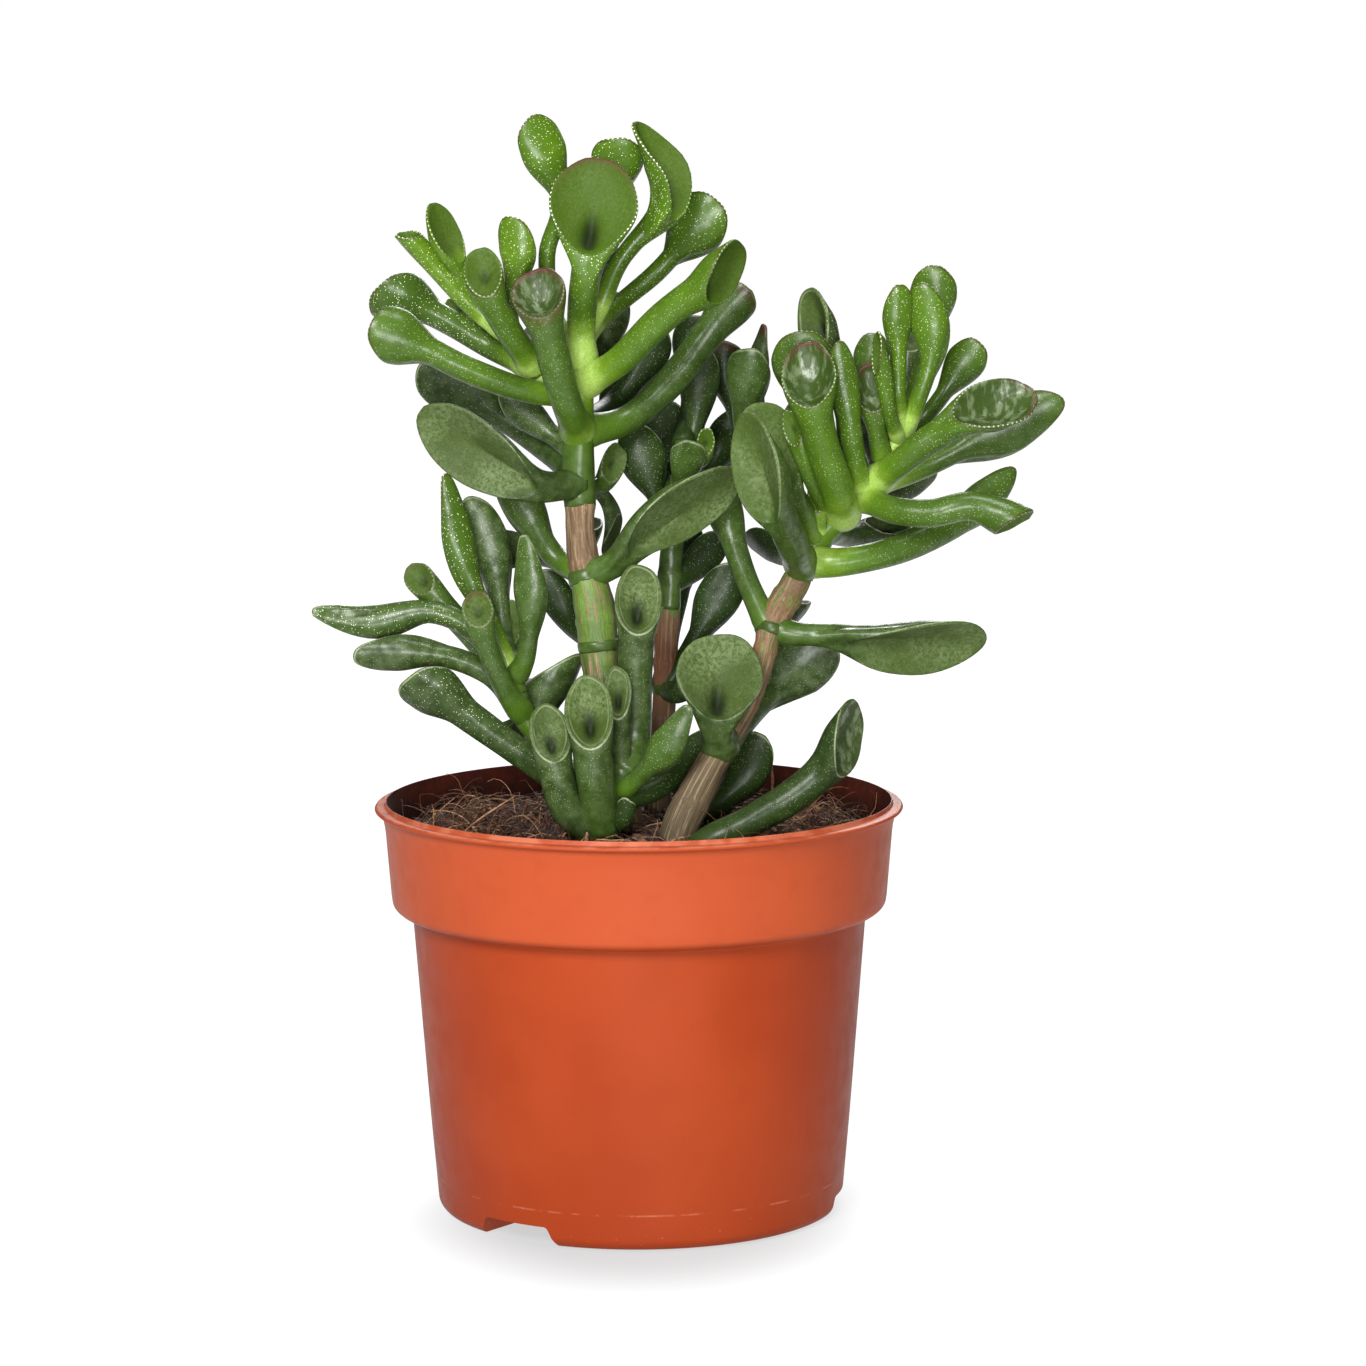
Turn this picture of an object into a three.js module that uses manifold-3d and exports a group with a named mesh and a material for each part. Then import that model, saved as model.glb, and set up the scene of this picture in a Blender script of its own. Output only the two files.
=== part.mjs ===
// Trumpet jade (Crassula ovata with trumpet-shaped leaves) in a 12 cm nursery pot.
// Millimetres, +Z up, the front of the plant faces -Y, the pot stands on z = 0.

import * as THREE from 'three';
import { mergeVertices } from 'three/addons/utils/BufferGeometryUtils.js';
import Module from 'manifold-3d';

const wasm = await Module();
wasm.setup();

// ---------------------------------------------------------------- driving dimensions

const GAP = 0.3;                  // clearance between neighbouring pieces
const POT_HEIGHT = 92.7;
const RIM_RADIUS = 60;
const WALL = 1.2;
const COLLAR_FOOT = 69;           // height at which the wall steps out into the collar
const FOOT_RISE = 4.4;            // height of the raised ring and of the three foot channels
const FOOT_CHANNEL_TURNS = [-37, 83, 203];   // degrees from the front, towards +X
const CHANNEL_REACH = 50;         // how far from the axis a channel's cutter reaches
const DRAIN_RADIUS = 2.5;
const DRAIN_RING = 25;
const DRAIN_REACH = 12;           // length of a drain hole's cutter
const DRAIN_SIDES = 12;
const DRAIN_TURNS = [0, 60, 120, 180, 240, 300];
const POT_SIDES = 32;
const SOIL_TOP = 89;              // height of the soil in the middle
const SOIL_EDGE = 85.5;           // height of the soil at the wall
const SOIL_SIDES = 16;
const LEAF_SIDES = 8;
const SMALL_LEAF = 5.1;           // half-width below which a leaf has fewer sides
const SMALL_LEAF_SIDES = 6;
const STEM_SIDES = 8;
const STEM_STATION = 9;           // distance between the rings of a stem
const FEWEST_STATIONS = 6;
const ROOT_SEARCH = 60;           // points of each stem among which a leaf's root is looked for
const BAND_SEARCH = 200;          // points of a trunk among which a collar's ends are looked for
const FRAME_STEPS = 40;           // steps in which a facing is carried down a curve

// The plant is laid out as a front drawing: x and z are read on the upright plane through the
// middle of the pot, as an eye at EYE sees them, and a depth sets the point back from the plane.
const EYE = { x: 10.1, distance: 1100, z: 275.5 };

// ---------------------------------------------------------------- layout of stems and leaves

// A stem is a list of [x, z, depth, radius] from its foot up.
const TRUNK_LEFT = [[-2, 72, -12, 4.2], [-3, 84, -12, 4.4], [-5.5, 100, -10, 4.5], [-8, 120, -7, 4.3],
  [-10, 138, -5, 4.6], [-12, 147, -3, 3.6], [-12.9, 155, -2, 3.2], [-13, 160.5, -1.5, 3.3]];
const TRUNK_RIGHT = [[7, 72, -21, 4.4], [8.5, 84, -20, 4.3], [13, 95, -18, 4], [18.5, 105, -15, 3.4],
  [23.5, 113, -12, 2.6], [27, 121, -9, 2.4], [29, 129, -7, 2.9], [31, 135, -5, 3.6], [35, 142, -3, 3.3],
  [36, 144, -3, 3.2]];
const TRUNK_BACK = [[3, 72, 8, 3], [4, 86, 8, 3], [5, 104, 8, 2.9], [6, 120, 8, 2.7], [6.8, 137, 8, 2.7]];

// A leaf is [root x and z, midline points, tip, neck, half-width, half-thickness, mouth length,
// turn, lift, point]: the root lies on the nearest stem, the midline points and the tip are
// [x, z, depth], the mouth is the slanting opening at the tip, and it faces `turn` degrees round
// from the front towards +X and `lift` degrees up. A point of 1 narrows the tip to a corner.
const SPRAYS = {
  crown_left: {
    stems: [
      [[-13, 160.8, -1.5, 3.4], [-13.3, 170, -1, 3.7], [-13, 178, -0.5, 3.4], [-12.7, 186, 0, 3],
        [-12.4, 194, 0, 2.8], [-12, 200, 0, 2.5]],
      [[-13, 180, 0, 2.4], [-19, 187, 3, 2.3], [-25, 194, 5, 2], [-29, 199.5, 6, 1.6]],
    ],
    leaves: [
      [[-12.4, 194], [[-18.5, 204, 14], [-20, 217, 15], [-16.8, 230, 14]], [-24, 247.3, 14],
        1.7, 5.6, 3, 16, -155, 0],
      [[-28, 198], [[-35.5, 207, 8], [-41.4, 216, 7]], [-43.4, 228.4, 7], 1.8, 4.8, 3.2, 14, 50, 5],
      [[-29, 199], [[-37, 205.5, 8], [-44.5, 213.8, 7]], [-52, 222.6, 5], 1.9, 3, 2.6, 3.5, 69, 48],
      [[-23, 191.5], [[-28, 199, -2], [-33, 208, -5]], [-35.3, 217.8, -5], 2.7, 4.5, 3.4, 10, 0, 5],
      [[-22, 190], [[-27, 199, 7], [-28.2, 208, 7], [-26.6, 217, 7]], [-27.2, 225.6, 7],
        1.4, 4.4, 2.8, 15, 160, 0],
      [[-28, 199], [[-34, 202, 15]], [-43, 206.5, 19], 1.4, 2.4, 1.6, 7, -20, 20],
      [[-13, 177], [[-15.5, 183, -10], [-19, 195, -14]], [-23, 213.3, -14], 3.2, 6.1, 4.9, 10.5, -5, 8],
      [[-12.4, 192], [[-12.3, 203, -3], [-11.3, 213, -8]], [-8.3, 237.8, -8], 3, 9.8, 4.4, 21, 0, 8],
      [[-12, 199], [[-10, 212, 10], [-5.5, 228, 12]], [-3.4, 243.2, 10], 2, 5.9, 3.4, 10, 180, 5],
      [[-12, 199], [[-8.2, 205, 3], [-3.6, 215.5, 3], [4.6, 226, 3], [7.6, 236, 3]], [3.2, 247.5, 3],
        1.9, 7.2, 6.4, 23, 62, 0, 0.4],
      [[-12, 198], [[-5, 205, 14], [4, 212.5, 17], [10, 219, 17]], [18, 228.7, 17],
        1.9, 7, 3.8, 14, 165, 5],
      [[-12.6, 188], [[-4, 193, -7], [6, 203, -10], [15, 209.5, -12]], [25.4, 216.4, -12],
        3.1, 6.8, 4.6, 13, 41, -35],
      [[-13, 177], [[-2, 180, 7], [8, 189, 10], [16, 199, 12]], [24.5, 209.5, 12], 3.1, 5, 4.2, 8, 150, 30],
      [[-12.7, 186], [[-24, 186.3, -5], [-38, 191.3, -8], [-48, 196.3, -8]], [-59.5, 200.8, -8],
        2.6, 6.3, 4.6, 11, 175, -15],
      [[-23, 192], [[-32, 196, 14], [-42, 202, 15]], [-58, 210, 15], 2.6, 6.8, 5.2, 10, 180, 30],
      [[-13.2, 167], [[-24, 176, 12], [-36, 184.5, 15]], [-48.3, 192, 17], 2.6, 7, 3, 20, 180, 0],
      [[-13.1, 165.3], [[-22, 165.6, -7], [-34, 171.2, -10]], [-49, 179.8, -12], 2.8, 8.2, 5, 30, -8, -22],
      [[-13.3, 172], [[-20, 177, 3]], [-30, 186, 5], 1.8, 3.8, 2.3, 13, 180, 0],
      [[-13.2, 164.5], [[-8, 165.5, 7]], [-3.5, 174, 8], 1.6, 3, 1.8, 9, 20, 0],
      [[-13.2, 165], [[-8, 163, 8], [-5.5, 157, 12]], [-6.3, 149.5, 14], 1.5, 3.2, 1.6, 10, 60, 0],
      [[-13, 178], [[-14, 184, 20], [-18, 192, 28]], [-22, 204, 38], 2.4, 5, 3.4, 10, -20, 40],
      [[-12.7, 187], [[-9, 191, 17], [-7, 197, 22]], [-5, 207, 30], 2.2, 4.5, 3, 10, 180, 20],
      [[-13.2, 171], [[-16, 174, 20], [-22, 178, 28]], [-30, 184, 38], 2.4, 5, 3.2, 12, -20, 30],
      [[-13, 179], [[-6, 183, 19], [0, 190, 23]], [4.5, 201, 26], 2.3, 5.2, 3, 12, 180, -10],
      [[-12.5, 193], [[-11, 201, 20], [-9, 210, 22]], [-8, 226, 28], 2.2, 4.6, 3, 12, 180, 10],
    ],
  },
  crown_right: {
    stems: [
      [[36.6, 145.2, -2.6, 3.4], [38, 149, -2, 3.4], [42, 154.5, -1, 3.2], [47, 159.5, 0, 3.3],
        [51, 163, 0, 3], [55, 168, 1, 2.6], [58, 173, 1, 2.3], [59.6, 177, 1, 1.8]],
      [[38, 149, -1, 2.6], [33, 157, 8, 2.4], [28, 166, 12, 2.2]],
    ],
    leaves: [
      [[37, 147], [[35, 151.5, -17], [30.5, 162, -26]], [21.3, 177.8, -29], 3.3, 7, 6.2, 22, -40, -10],
      [[37.5, 148], [[46, 147.6, -5], [60, 150.8, -2], [74.5, 158.6, 5]], [84.2, 168.6, 8],
        3, 5, 3.4, 16, 165, 25, 0.5],
      [[39.5, 152.5], [[37, 160, -7], [31.5, 170, -10]], [26.5, 183, -10], 2.2, 7, 3.4, 20, -10, 5],
      [[32, 158], [[27, 168, 14], [24.5, 180, 12]], [25.3, 196.2, 10], 2.6, 5.2, 4, 12, 170, 10],
      [[30, 162], [[28, 175, 20], [26.5, 188, 20]], [29, 201.3, 19], 1.8, 3.6, 2.4, 12, 130, 0, 0.8],
      [[29, 165], [[24, 176, 24], [21, 186, 26]], [19.5, 197.3, 27], 1.8, 4.6, 2.4, 12, 180, 0],
      [[46.5, 158], [[45, 163.5, -10], [40.8, 177, -15]], [37.4, 196.3, -15], 3.5, 6.2, 5, 13.5, -8, 5],
      [[45.5, 158.5], [[43, 172, -2], [37.5, 186, 0]], [37.5, 199.5, 0], 2.2, 7, 3.2, 13, 180, 5],
      [[47, 160], [[47.5, 175, 8], [45.5, 190, 8]], [36.2, 207.3, 7], 2.4, 5.6, 4.2, 14, -50, -10],
      [[50.5, 162.5], [[48.7, 172, -7], [46.8, 186, -8]], [44.8, 197.3, -8],
        2.3, 3.8, 2.8, 18, 190, 0, 0.3],
      [[51, 162.5], [[57, 159.5, -10], [66, 158.5, -14], [76, 160, -14]], [87.5, 155.3, -14],
        2.8, 5.2, 4.2, 6, 20, -65],
      [[53, 165.5], [[59, 170, -7], [69.5, 177.5, -10]], [88, 187.2, -12], 2.9, 6.6, 4.4, 18, -15, 34],
      [[53.5, 166], [[61.5, 168, 5], [75, 174.4, 7]], [95.2, 184.4, 7], 2.6, 7.8, 4.2, 26, 180, 0, 0.5],
      [[50.5, 162.5], [[57, 163, 14]], [65.7, 170, 19], 2, 4.4, 2.6, 11, 150, 30],
      [[42, 154.5], [[49, 153.5, 12]], [61.5, 157, 19], 2.2, 4.4, 2.6, 12, 0, 60],
      [[56, 169.5], [[54, 176, -2]], [52.4, 191.2, -5], 2, 4.3, 3.4, 9.5, -5, 5],
      [[57, 171], [[54.5, 181, 10], [52.5, 190, 12]], [53, 199, 12], 1.8, 4, 2.8, 10, 180, 10],
      [[59, 175], [[56.5, 182, -7], [55.3, 190, -8]], [52.6, 198.6, -10], 1.5, 2.9, 2.2, 9, -70, 10],
      [[59.4, 176.5], [[58.6, 185, -3], [58.6, 196, -2]], [58.4, 209.8, -2], 1.7, 3.6, 2.6, 12, -160, 0],
      [[59.4, 176.5], [[63, 184, -2], [66, 195, -2]], [64.5, 210, 0], 1.8, 4.6, 3.3, 17, 160, 10],
      [[59.5, 176.8], [[62.5, 187, 12], [65.5, 198, 15]], [66.8, 214, 15], 1.7, 5.4, 3, 13, 180, 10],
      [[58, 173], [[65, 180.5, 10], [70.5, 188, 12]], [76.5, 197, 12], 1.7, 4.5, 2.8, 10, 170, 15],
      [[44, 157], [[39, 166, -12]], [33.6, 181.5, -14], 1.4, 2.4, 1.4, 8, -30, 0],
      [[40, 153.5], [[40.5, 158, -5]], [41, 168, -5], 1.6, 2.6, 1.8, 9, 0, 0],
      [[37.5, 148], [[35, 149, 17], [31.5, 150, 25]], [27, 153.5, 38], 2.4, 4.6, 3, 12, 180, 20],
      [[42, 154.5], [[46, 158, 20], [50, 163, 28]], [56, 172, 40], 2.4, 5, 3.6, 12, 30, 50],
      [[47, 159.5], [[44, 166, 20], [40, 174, 28]], [36, 186, 38], 2.4, 5, 3.6, 12, -20, 50],
      [[51, 163], [[54, 168, 20], [59, 175, 25]], [66, 182, 34], 2.2, 4.6, 3.2, 11, 20, 50],
      [[55, 168], [[52, 176, 20], [49, 184, 22]], [46, 194, 28], 2, 4.2, 3, 10, -20, 40],
      [[58, 173], [[60, 182, 17], [61, 192, 24]], [62, 203, 27], 1.8, 3.8, 2.8, 9, 0, 40],
    ],
  },
  crown_back: {
    stems: [
      [[6.8, 137.4, 8, 2.8], [7.4, 148, 9, 2.7], [8.5, 158, 10, 2.5], [10, 168, 12, 2.2],
        [10.5, 176, 12, 1.8]],
    ],
    leaves: [
      [[9.5, 166], [[10.5, 168, 8]], [12.3, 175.4, 5], 1.6, 4, 1.8, 8, 180, 0],
      [[10, 170], [[14.5, 171, 8]], [15.8, 177.4, 6], 1.2, 2.1, 1.2, 6, 0, 0],
      [[10.2, 170], [[13, 178, 16]], [14.5, 196, 19], 2, 4.6, 2.8, 16, 180, 0],
      [[8.2, 156], [[4, 163, 10]], [-1, 178, 14], 1.9, 5.4, 2.6, 14, 180, 0],
      [[7.2, 143], [[11.5, 145.5, 12]], [19, 153.5, 15], 2, 4, 2.4, 12, 180, 0],
      [[8, 154], [[7, 163, 20]], [6, 183, 30], 2.2, 5.8, 3, 14, 180, -10],
      [[9, 162], [[2, 171, 24]], [-5, 188, 36], 2.2, 5.4, 3, 12, 180, -10],
      [[9, 162], [[16, 168, 24]], [23, 180, 36], 2.2, 5, 3, 12, 180, -10],
      [[10.4, 174], [[12, 184, 26]], [13, 202, 38], 2, 5, 3, 12, 180, -10],
    ],
  },
  shoot_low_left: {
    stems: [
      [[-11, 72, -14, 3.2], [-12, 84, -14, 3.2], [-16, 96, -14, 3], [-21, 106, -13, 2.8],
        [-26, 113, -12, 2.6], [-28, 119, -11, 2.4], [-28.5, 124, -10, 2]],
    ],
    leaves: [
      [[-17, 98], [[-24.5, 102.5, -18], [-38, 112.5, -19]], [-51.6, 122.6, -19], 3, 6.4, 4.6, 11, 170, 20],
      [[-16.5, 97], [[-21, 105, -9], [-22.5, 114, -6]], [-17, 128, -3], 3.4, 5.6, 5.4, 14, -115, 20],
      [[-26, 113], [[-29.5, 117.5, -16], [-34, 128, -18]], [-37, 140.6, -19], 2.2, 3.5, 2.9, 7.2, 0, 10],
      [[-27, 115], [[-34.5, 122.8, -13], [-46, 126.8, -14]], [-64.3, 127, -15],
        2.3, 4.6, 3.4, 18, 180, 10, 0.3],
      [[-27.5, 117], [[-36, 131, -8], [-47, 136.6, -8], [-60, 134.3, -8]], [-73.3, 136.5, -9],
        2.3, 4.8, 3.4, 24, 180, -20, 0.6],
      [[-27.5, 117], [[-35, 127.5, -5], [-43, 137, -5]], [-51.5, 146.6, -5], 2.3, 3.5, 3, 7, -10, 10],
      [[-28.3, 121], [[-25.3, 127, -14], [-24.3, 140, -15]], [-25.3, 153.8, -15],
        2, 4.8, 2.8, 20, 165, 0, 0.7],
      [[-28.3, 121], [[-32, 131, -8], [-38.5, 146, -7]], [-43.6, 167.5, -7], 2, 5, 3.2, 26, -150, 0, 0.7],
      [[-28.4, 122], [[-30.5, 132, -2], [-32.5, 147, -1]], [-37.8, 162.5, 0], 2.2, 5, 2.8, 22, 180, 0],
      [[-28, 119], [[-28.5, 127, -4]], [-29, 139, -3], 1.6, 2.4, 1.5, 10, 0, 0],
      [[-26, 113], [[-26, 115, 4], [-26, 118, 14]], [-27, 122, 24], 2.2, 4, 3, 10, -20, 50],
      [[-21, 106], [[-24, 106, 2], [-28, 108, 12]], [-33, 112, 20], 2.4, 4.5, 3.2, 10, -20, 50],
    ],
  },
  shoot_front: {
    stems: [
      [[-10, 74, -23, 3], [-10, 84, -23, 3.2], [-7, 90, -22, 2.8], [-4, 97, -20, 2.6],
        [-3, 101, -19, 2.2]],
    ],
    leaves: [
      [[-9.5, 87], [[-9.5, 95, -28], [-10.5, 105, -29]], [-12, 121, -29], 3.8, 5.5, 4.6, 15, 0, 8],
      [[-10, 87], [[-16, 91, -27], [-19, 101, -28]], [-20.8, 114.8, -28], 3.4, 4.5, 3.8, 12, 10, 5],
      [[-4, 97], [[-4, 106, -21], [-4.5, 114, -22]], [-5, 123.6, -22], 2, 3.2, 2.6, 11, -5, 8],
      [[-3.5, 99], [[-1, 108, -15], [-0.6, 125, -16]], [0.6, 146.3, -16], 3.4, 5.4, 4.8, 14.5, 3, 8],
      [[-4.5, 94.5], [[0, 98.5, -24], [6, 105, -27]], [11.6, 115, -28], 1.8, 5.2, 2.2, 17, 160, 20, 0.8],
      [[-8, 89], [[-4, 88.5, -27]], [-2.5, 94, -28], 1.6, 2.2, 1.6, 5, 180, 0],
      [[-5, 93], [[3, 95.5, -17], [9, 100.5, -12]], [15, 108, -7], 2.4, 3.4, 2.6, 10, 150, 30],
    ],
  },
  shoot_right: {
    stems: [
      [[11, 74, -28, 2.8], [13, 79.5, -28, 3.1], [17, 84, -27, 3.5], [23, 87, -27, 3.6],
        [30, 91, -27, 3.4]],
    ],
    leaves: [
      [[28, 89.8], [[34, 93.5, -27], [41, 99.5, -26]], [52, 113.2, -24], 3.4, 7.6, 4.6, 15, 50, -30],
    ],
  },
  shoot_middle: {
    stems: [
      [[12, 74, -5, 2.6], [12.5, 86, -5, 2.6], [13, 93, -5, 2.2]],
    ],
    leaves: [
      [[12.8, 91], [[18.5, 93, -4], [24, 99, -3]], [27.5, 108.5, -3], 2.8, 5.2, 2.8, 14, 165, 10],
    ],
  },
};

// A leaf pair grows round its trunk, joined in a collar at the height `ring`.
const LEAF_PAIRS = {
  pair_left_high: {
    trunk: TRUNK_LEFT,
    ring: 145,
    leaves: [
      [[-11.8, 146], [[-17, 147.5, 1], [-22, 153.5, 3]], [-29.5, 168, 5], 2.4, 4.8, 3, 16, 180, 0],
      [[-11.8, 144.8], [[-5.5, 147.5, -6], [3, 156, -7]], [24, 165, -6], 2.6, 7.6, 4.4, 31, 5, -34],
      [[-12, 146], [[-20, 149, 9], [-30, 150.5, 13]], [-42.5, 147, 16], 2.4, 5, 2.6, 22, 0, 20],
      [[-12, 146], [[-12, 150, 12]], [-11.5, 160, 26], 2.2, 4, 3, 12, 0, 50],
    ],
  },
  pair_left_low: {
    trunk: TRUNK_LEFT,
    ring: 129,
    leaves: [
      [[-9, 129.5], [[-14.5, 133, 3]], [-21, 145.5, 8], 2, 3.8, 2, 14, 180, 0],
      [[-9, 127], [[-9, 128, 10]], [-8, 134, 22], 2.2, 4.4, 3, 10, 0, 50],
    ],
  },
  pair_right_low: {
    trunk: TRUNK_RIGHT,
    ring: 105,
    leaves: [
      [[18.5, 105], [[17.6, 110, -19], [18.2, 117, -20]], [19.2, 130.8, -19], 3.4, 9.6, 4.8, 18, 3, 8],
      [[19, 105.6], [[27, 115, 0], [35, 123.5, 5]], [44, 130, 6], 2.8, 7.6, 3.6, 20, 170, 10],
    ],
  },
  pair_right_high: {
    trunk: TRUNK_RIGHT,
    ring: 132.5,
    leaves: [
      [[29.5, 132.5], [[26.5, 139, -3], [23, 148, 2]], [17.5, 166, 11], 2.4, 4.4, 3.4, 13, 170, 0],
      [[30, 133], [[36, 131.2, -7], [46, 130.8, -8], [60, 128.2, -9]], [78.5, 127, -9],
        2.4, 7.8, 4.6, 31, 0, -36],
      [[30, 133], [[33, 134, 8]], [36.5, 141, 24], 2.3, 3.8, 3, 12, 0, 60],
    ],
  },
  pair_back: {
    trunk: TRUNK_BACK,
    ring: 119,
    leaves: [
      [[6, 119], [[12, 128, 8]], [22, 147, 10], 2.2, 5.2, 2.6, 16, 180, 0],
      [[5.8, 119], [[9.5, 118, 2]], [17, 126, 1], 1.8, 3.5, 2.4, 10, 150, 20],
      [[6, 119], [[7, 131, 18], [9.5, 143, 24]], [11.5, 156, 28], 2.2, 4.6, 2.8, 12, 180, -10],
    ],
  },
};
const PAIR_COLLAR = { height: 4, rim: 1.2 };

// ---------------------------------------------------------------- colours

const MATERIALS = {
  pot: new THREE.MeshStandardMaterial({ color: 0xc9502d, roughness: 0.45, metalness: 0 }),
  soil: new THREE.MeshStandardMaterial({ color: 0x3a281c, roughness: 0.95, metalness: 0 }),
  bark: new THREE.MeshStandardMaterial({ color: 0x8a6f4c, roughness: 0.8, metalness: 0 }),
  leaf: new THREE.MeshStandardMaterial({ color: 0x4f7a28, roughness: 0.35, metalness: 0 }),
};

// ---------------------------------------------------------------- solids and meshes

// Welds a closed geometry and drops the faces that shrank to a line, as at a lathe's axis.
function weld(geometry) {
  const bare = geometry.clone();
  bare.deleteAttribute('normal');
  bare.deleteAttribute('uv');
  const welded = mergeVertices(bare, 1e-4);
  const kept = [];
  const index = welded.index.array;
  for (let i = 0; i < index.length; i += 3) {
    const [a, b, c] = [index[i], index[i + 1], index[i + 2]];
    if (a !== b && b !== c && c !== a) kept.push(a, b, c);
  }
  welded.setIndex(kept);
  return welded;
}

function toSolid(geometry) {
  const welded = weld(geometry);
  return new wasm.Manifold(new wasm.Mesh({
    numProp: 3,
    vertProperties: Float32Array.from(welded.attributes.position.array),
    triVerts: Uint32Array.from(welded.index.array),
  }));
}

function toMesh(name, solid, material) {
  const { vertProperties, triVerts } = solid.getMesh();
  const geometry = new THREE.BufferGeometry();
  geometry.setAttribute('position', new THREE.BufferAttribute(vertProperties, 3));
  geometry.setIndex(new THREE.BufferAttribute(triVerts, 1));
  geometry.computeVertexNormals();
  const mesh = new THREE.Mesh(geometry, material);
  mesh.name = name;
  return mesh;
}

const joinAll = (solids) => solids.reduce((joined, solid) => joined.add(solid));

// ---------------------------------------------------------------- places and curves

function drawnToWorld([x, z, depth]) {
  const spread = (EYE.distance + depth) / EYE.distance;
  return new THREE.Vector3(EYE.x + (x - EYE.x) * spread, depth, EYE.z + (z - EYE.z) * spread);
}

function worldToDrawn(point) {
  const spread = (EYE.distance + point.y) / EYE.distance;
  return [EYE.x + (point.x - EYE.x) / spread, EYE.z + (point.z - EYE.z) / spread];
}

const smoothCurve = (points) => new THREE.CatmullRomCurve3(points, false, 'catmullrom', 0.5);

function facing(turn, lift) {
  const [t, l] = [turn, lift].map(THREE.MathUtils.degToRad);
  return new THREE.Vector3(Math.sin(t) * Math.cos(l), -Math.cos(t) * Math.cos(l), Math.sin(l));
}

const squareTo = (vector, axis) => vector.clone().addScaledVector(axis, -vector.dot(axis)).normalize();

// Carries the direction `face` from the curve's far end down to its foot, square to the curve.
function facesAlong(curve, face) {
  const faces = new Array(FRAME_STEPS + 1);
  let current = face;
  for (let step = FRAME_STEPS; step >= 0; step -= 1) {
    current = squareTo(current, curve.getTangentAt(step / FRAME_STEPS));
    faces[step] = current;
  }
  return faces;
}

// Gives the place, the facing and the sideways direction at the fraction `t` of a curve.
function frameAt(curve, faces, t) {
  const step = Math.min(Math.floor(t * FRAME_STEPS), FRAME_STEPS - 1);
  const between = faces[step].clone().lerp(faces[step + 1], t * FRAME_STEPS - step);
  const tangent = curve.getTangentAt(t);
  const face = squareTo(between, tangent);
  return { place: curve.getPointAt(t), face, side: tangent.clone().cross(face) };
}

// A lathe whose vertices are moved by place(angle, row): it bends a drum into a stem or a leaf.
// The two ends of the profile lie on the axis, and `radii` gives each row's distance from it.
function bentLathe(radii, sides, place) {
  const profile = radii.map((radius, row) => new THREE.Vector2(radius, row));
  const geometry = new THREE.LatheGeometry(profile, sides);
  const position = geometry.attributes.position;
  for (let spoke = 0; spoke <= sides; spoke += 1) {
    const angle = (spoke % sides) / sides * 2 * Math.PI;
    for (let row = 0; row < radii.length; row += 1) {
      const point = place(angle, row);
      position.setXYZ(spoke * radii.length + row, point.x, point.y, point.z);
    }
  }
  return toSolid(geometry);
}

// ---------------------------------------------------------------- stems

function stemCurve(rows) {
  return smoothCurve(rows.map(drawnToWorld));
}

function stemSolid(rows, extraRadius = 0, foot = 0) {
  const points = rows.map(drawnToWorld);
  points[0].z -= foot;
  const curve = smoothCurve(points);
  const faces = facesAlong(curve, new THREE.Vector3(0, -1, 0));
  const stations = Math.max(FEWEST_STATIONS, Math.round(curve.getLength() / STEM_STATION));
  const radiusAt = (share) => {
    const along = curve.getUtoTmapping(share) * (rows.length - 1);
    const row = Math.min(Math.floor(along), rows.length - 2);
    return THREE.MathUtils.lerp(rows[row][3], rows[row + 1][3], along - row) + extraRadius;
  };
  const radii = [0, ...Array(stations + 1).fill(1), 0];
  return bentLathe(radii, STEM_SIDES, (angle, row) => {
    const share = THREE.MathUtils.clamp(row - 1, 0, stations) / stations;
    const { place, face, side } = frameAt(curve, faces, share);
    if (radii[row] === 0) return place;
    return place.addScaledVector(face, Math.cos(angle) * radiusAt(share))
      .addScaledVector(side, Math.sin(angle) * radiusAt(share));
  });
}

// Finds the point on the stems' midlines that looks nearest to the drawn [x, z].
function rootOn(curves, [x, z]) {
  const candidates = curves.flatMap((curve) => curve.getSpacedPoints(ROOT_SEARCH));
  const distance = (point) => {
    const [drawnX, drawnZ] = worldToDrawn(point);
    return Math.hypot(drawnX - x, drawnZ - z);
  };
  return candidates.reduce((best, point) => (distance(point) < distance(best) ? point : best));
}

// ---------------------------------------------------------------- leaves

const RINGS = [0, 0.28, 0.56, 0.8, 1];   // rings along a leaf, as shares of its length
const SHORT_LEAF = 30;                   // length below which a leaf has fewer rings
const SHORT_LEAF_RINGS = [0, 0.4, 0.75, 1];
const CUP_RING = 0.6;                    // the ring inside the mouth, as a share of its width
const CUP_RING_DROP = 0.5;               // how deep that ring lies, as a share of the cup's depth
const CUP_DEPTH = 0.55;                  // depth of the cup, as a share of the half-thickness
const PIT_PLACE = 0.58;                  // where the pit lies, from the tip towards the heel
const LONG_MOUTH = [12, 26];             // mouth lengths between which the tip grows blunt
const BLUNTING = 0.4;                    // how blunt the longest mouths end
const FLARE = { shortest: 10, share: 0.8 };   // where a leaf widens, from its mouth's length
const STALK_SPREAD = 0.25;               // how much wider the stalk is at the mouth than at its neck
const POINT_TAPER = 0.7;                 // how much a pointed tip narrows

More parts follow.
